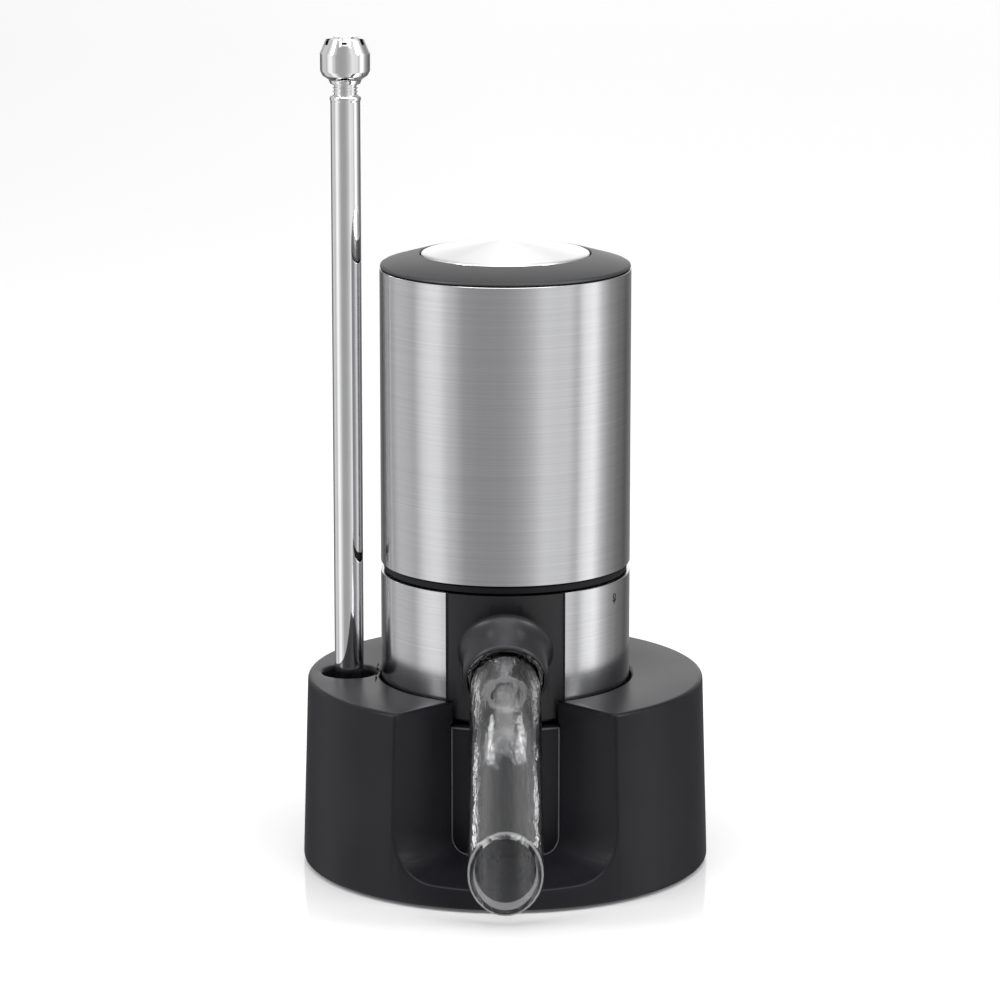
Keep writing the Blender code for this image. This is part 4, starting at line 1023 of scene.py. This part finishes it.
def spun_metal(name, color):
    """Metal faced on a lathe, with circular marks and broad fans of light."""
    material, tree, shader = add_nodes(name)
    surface(shader, Metallic=1.0, Anisotropic=0.85, Anisotropic_Rotation=0.25)
    split = node(tree, "SeparateXYZ", Vector=object_place(tree))
    square = [node(tree, "Math", {"operation": "POWER"}, _0=split.outputs[i], _1=2.0) for i in "XY"]
    total = node(
        tree, "Math", {"operation": "ADD"}, _0=square[0].outputs[0], _1=square[1].outputs[0]
    )
    radius = node(tree, "Math", {"operation": "SQRT"}, _0=total.outputs[0])
    rings = node(tree, "CombineXYZ", X=radius.outputs[0])
    marks = noise(tree, rings.outputs["Vector"], 9000.0, 4.0)
    tinted(tree, shader, marks, color, 0.93)
    glossed(tree, shader, marks, 0.26, 0.34, 0.2)
    embossed(tree, shader, marks, 0.06, 0.00002)
    turned(tree, shader)
    return material


spun = spun_metal("spun_button_metal", (0.97, 0.97, 0.97))
dish_back = (
    (0.0, 132.3), (2.2, 132.3), (2.2, 136.6), (16.9, 136.6), (16.9, 133.9), (20.3, 133.9),
    (20.3, 134.9), (18.75, 134.9), (18.75, 138.75), (18.63, 139.0), (18.35, 139.12),
)
dish = [(r * MM, z * MM) for r, z in dish_back]
dish += [
    (r, 139.1 * MM + 2.78 * MM * (1.0 - (r / BUTTON_R) ** 1.6))
    for r in along(BUTTON_R - 0.6 * MM, 0.25 * MM, 30)
]
dish.append((0.0, 141.88 * MM))
button = shown("spun_button", lathe(dish), spun, 50.0)
belongs(button, "button", "steel", "push_button")

# The button's spring, a few turns of bright wire between the cover's ceiling and the button. The
# real spring shortens as the button goes down; this coil is made at one length and rides with the
# cover.

coil_low, coil_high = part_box("button_spring")
COIL_R = 11.0 * MM
WIRE_R = 0.22 * MM
TURNS = 3.5
COIL_STEPS = 140
first_z = coil_low.z + 1.1 * WIRE_R
last_z = coil_high.z - 1.1 * WIRE_R
coil_turns = [(math.tau * TURNS * i / COIL_STEPS, i / COIL_STEPS) for i in range(COIL_STEPS + 1)]
coil_path = [
    (COIL_R * math.cos(turn), COIL_R * math.sin(turn), first_z + (last_z - first_z) * share)
    for turn, share in coil_turns
]
wire = grained("spring_wire", (0.55, 0.55, 0.56), 1.0, 0.25, 1500.0, 0.05, 0.08)
coil = shown("button_coil", beading(coil_path, WIRE_R, 10, closed=False), wire)
belongs(coil, "cover", "spring", "button_spring")
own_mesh(coil)

# The suction tube. A chromed steel tube whose thinner inner tube draws out of it; the turned and
# chromed tip has three slots cut across its end that let the wine in.

plated = chrome("chrome_plate", (0.93, 0.93, 0.94), 0.03, 0.08)
outer_low, outer_high = tube_low.z, tube_high.z
TUBE_R = 3.3 * MM
TUBE_BORE_R = 2.9 * MM
outer_outline = [
    (TUBE_BORE_R, outer_low), (TUBE_R, outer_low), (TUBE_R, outer_high - 1.35 * MM),
    (TUBE_R + 0.15 * MM, outer_high - 1.0 * MM), (TUBE_R + 0.15 * MM, outer_high - 0.35 * MM),
    (TUBE_R - 0.1 * MM, outer_high), (TUBE_BORE_R, outer_high - 0.05 * MM),
]
outer_bm = moved(lathe(rounded(outer_outline, 0.12 * MM, 3), 96), to_tube)
outer_tube = shown("outer_tube", outer_bm, plated, 45.0)
belongs(outer_tube, "tube", "polished", "tube_outer")
inner_low, inner_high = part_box("tube_inner")
tip_low, tip_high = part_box("tube_tip")
INNER_R = 2.5 * MM
inner_outline = [
    (2.0 * MM, inner_low.z), (2.6 * MM, inner_low.z), (2.6 * MM, inner_low.z + 3 * MM),
    (INNER_R, inner_low.z + 3.3 * MM),
]
for number in range(4):
    low = outer_high + (0.7 + 0.75 * number) * MM
    inner_outline += [
        (INNER_R, low), (2.78 * MM, low + 0.12 * MM), (2.78 * MM, low + 0.34 * MM),
        (INNER_R, low + 0.46 * MM),
    ]
inner_outline += [(INNER_R, inner_high.z), (2.0 * MM, inner_high.z)]
inner_tube = shown("inner_tube", moved(lathe(inner_outline, 96), to_tube), plated, 45.0)
belongs(inner_tube, "inner_tube", "polished", "tube_inner")
TIP_R = 5.52 * MM
MOUTH_Z = tip_high.z - 4.8 * MM
tip_outline = [
    (2.8 * MM, tip_low.z), (3.3 * MM, tip_low.z), (3.7 * MM, tip_low.z + 1.0 * MM),
    (TIP_R - 0.5 * MM, tip_low.z + 1.9 * MM), (TIP_R, tip_low.z + 2.9 * MM),
    (TIP_R, tip_high.z - 3.2 * MM), (TIP_R - 1.35 * MM, tip_high.z), (2.0 * MM, tip_high.z),
    (2.0 * MM, MOUTH_Z), (2.8 * MM, MOUTH_Z),
]
tip = shown("slotted_tip", lathe(rounded(tip_outline, 0.22 * MM, 3), 96), plated, 45.0)
slot_bars = []
for angle in (30.0, 90.0, 150.0):
    bm = bmesh.new()
    turn = Matrix.Rotation(math.radians(angle), 4, "Z")
    shape = turn @ Matrix.Translation((0.0, 0.0, tip_high.z + 5.0 * MM))
    shape = shape @ Matrix.Diagonal((14 * MM, 1.2 * MM, 12.6 * MM, 1.0))
    bmesh.ops.create_cube(bm, size=1.0, matrix=shape)
    slot_bars.append(tool(bm))
carve(tip, *slot_bars)
clean(tip)
tip.data.transform(to_tube)
belongs(tip, "inner_tube", "polished", "tube_tip")

# The tube's soft fitting. A grey silicone socket at the tube's foot, which pushes onto the
# dispenser's connector when the object stands in a bottle.

fit_low, fit_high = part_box("tube_fitting")
SOCKET_FLOOR_Z = fit_low.z + 2.0 * MM
socket = [
    (1.9 * MM, fit_low.z), (5.5 * MM, fit_low.z), (5.5 * MM, fit_low.z + 12.0 * MM),
    (4.6 * MM, fit_high.z), (3.6 * MM, fit_high.z), (3.6 * MM, SOCKET_FLOOR_Z),
    (1.9 * MM, SOCKET_FLOOR_Z),
]
socket = rounded(socket, 0.4 * MM, 4)
fitting = shown("soft_socket", moved(lathe(socket, 96), to_tube), silicone_grey, 45.0)
belongs(fitting, "tube", "silicone", "tube_fitting")

# The floor. One wide pale sheet, smooth enough to mirror the foot of the stand a little, and lit
# evenly so that it runs out to white with no edge.

SCENE = bpy.context.scene
SCENE.view_settings.view_transform = "Standard"

floor_material, tree, shader = add_nodes("studio_floor")
surface(shader, Base_Color=(0.9, 0.9, 0.9, 1.0), IOR=1.38)
surface(shader, Emission_Color=(1.0, 1.0, 1.0, 1.0), Emission_Strength=0.08)
sheen = noise(tree, object_place(tree), 9.0, 2.0)
glossed(tree, shader, sheen, 0.05, 0.09, 0.5)
floor_bm = bmesh.new()
bmesh.ops.create_circle(floor_bm, cap_ends=True, segments=96, radius=6.0)
floor = shown("studio_ground", floor_bm, floor_material)
floor.visible_glossy = False

# The studio round the object: tall panels of white and grey cloth at their true bearings, so that
# the metal shows each as an upright streak. Straight to the lens the studio is plain white.

PANELS = (
    (-180, 1.15), (-166, 0.95), (-155, 0.34), (-131, 0.56), (-116, 0.66), (-103, 0.62), (-92, 0.52),
    (-82, 0.90), (-72, 1.02), (-63, 0.98), (-55, 0.70), (-47, 0.60), (-39, 0.40), (-20, 0.36),
    (0, 0.38), (13, 0.47), (24, 0.60), (36, 0.86), (52, 0.80), (60, 0.82), (69, 0.54), (76, 1.05),
    (89, 1.30), (99, 0.70), (111, 0.36), (125, 0.26), (144, 0.36), (160, 0.80), (170, 1.15),
    (180, 1.15),
)
world = bpy.data.worlds.new("studio")
SCENE.world = world
world.use_nodes = True
tree = world.node_tree
backdrop = tree.nodes["Background"]
way = node(tree, "SeparateXYZ", Vector=node(tree, "TexCoord").outputs["Generated"])
ahead = node(tree, "Math", {"operation": "MULTIPLY"}, _0=way.outputs["Y"], _1=-1.0)
bearing = node(
    tree, "Math", {"operation": "ARCTAN2"}, _0=way.outputs["X"], _1=ahead.outputs["Value"]
)
turn = node(
    tree, "MapRange", Value=bearing.outputs["Value"], From_Min=-math.pi, From_Max=math.pi,
    To_Min=0.0, To_Max=1.0,
)
cloth = ramp(tree, turn.outputs["Result"], *[((a + 180) / 360, float(v)) for a, v in PANELS])
behind = ramp(
    tree, turn.outputs["Result"],
    (0.0, 0.22), (0.1, 0.3), (0.17, 1.0), (0.83, 1.0), (0.9, 0.3), (1.0, 0.22),
)
below = node(
    tree, "MapRange", Value=way.outputs["Z"], From_Min=-0.02, From_Max=-0.1, To_Min=0.0, To_Max=1.0
)
cloth = node(
    tree, "Mix", {"data_type": "RGBA", "blend_type": "MULTIPLY"}, Factor=below.outputs["Result"],
    _6=cloth, _7=behind,
).outputs[2]
to_lens = node(tree, "LightPath").outputs["Is Camera Ray"]
seen = node(tree, "Mix", {"data_type": "RGBA"}, Factor=to_lens, _6=cloth, _7=(1.0, 1.0, 1.0, 1.0))
tree.links.new(seen.outputs[2], backdrop.inputs["Color"])
backdrop.inputs["Strength"].default_value = 1.0
MIDDLE = Vector((0.0, 0.0, 0.09))


def softbox(name, place, width, height, watts):
    """A rectangular studio light that points at the object's middle."""
    data = bpy.data.lights.new(name, "AREA")
    data.shape = "RECTANGLE"
    data.size = width
    data.size_y = height
    data.energy = watts
    light = bpy.data.objects.new(name, data)
    SCENE.collection.objects.link(light)
    light.location = place
    light.rotation_euler = (MIDDLE - Vector(place)).to_track_quat("-Z", "Y").to_euler()
    return light


softbox("top_box", (0.0, -0.35, 1.05), 1.0, 0.8, 6.0)
softbox("left_box", (-0.86, -0.36, 0.72), 0.2, 0.6, 4.0)
softbox("right_box", (0.86, -0.36, 0.72), 0.2, 0.6, 4.0)

# The camera. A long lens a metre away and a little above the object, looking down by 12 degrees,
# so that the top shows as a thin ellipse.

lens = bpy.data.cameras.new("product_lens")
lens.lens = 164.5
lens.sensor_width = 36.0
lens.clip_start = 0.01
camera = bpy.data.objects.new("product_camera", lens)
SCENE.collection.objects.link(camera)
camera.location = (-0.0012, -1.0026, 0.30058)
camera.rotation_euler = (math.radians(90.0 - 12.257), 0.0, 0.0)
SCENE.camera = camera

bpy.context.view_layer.update()
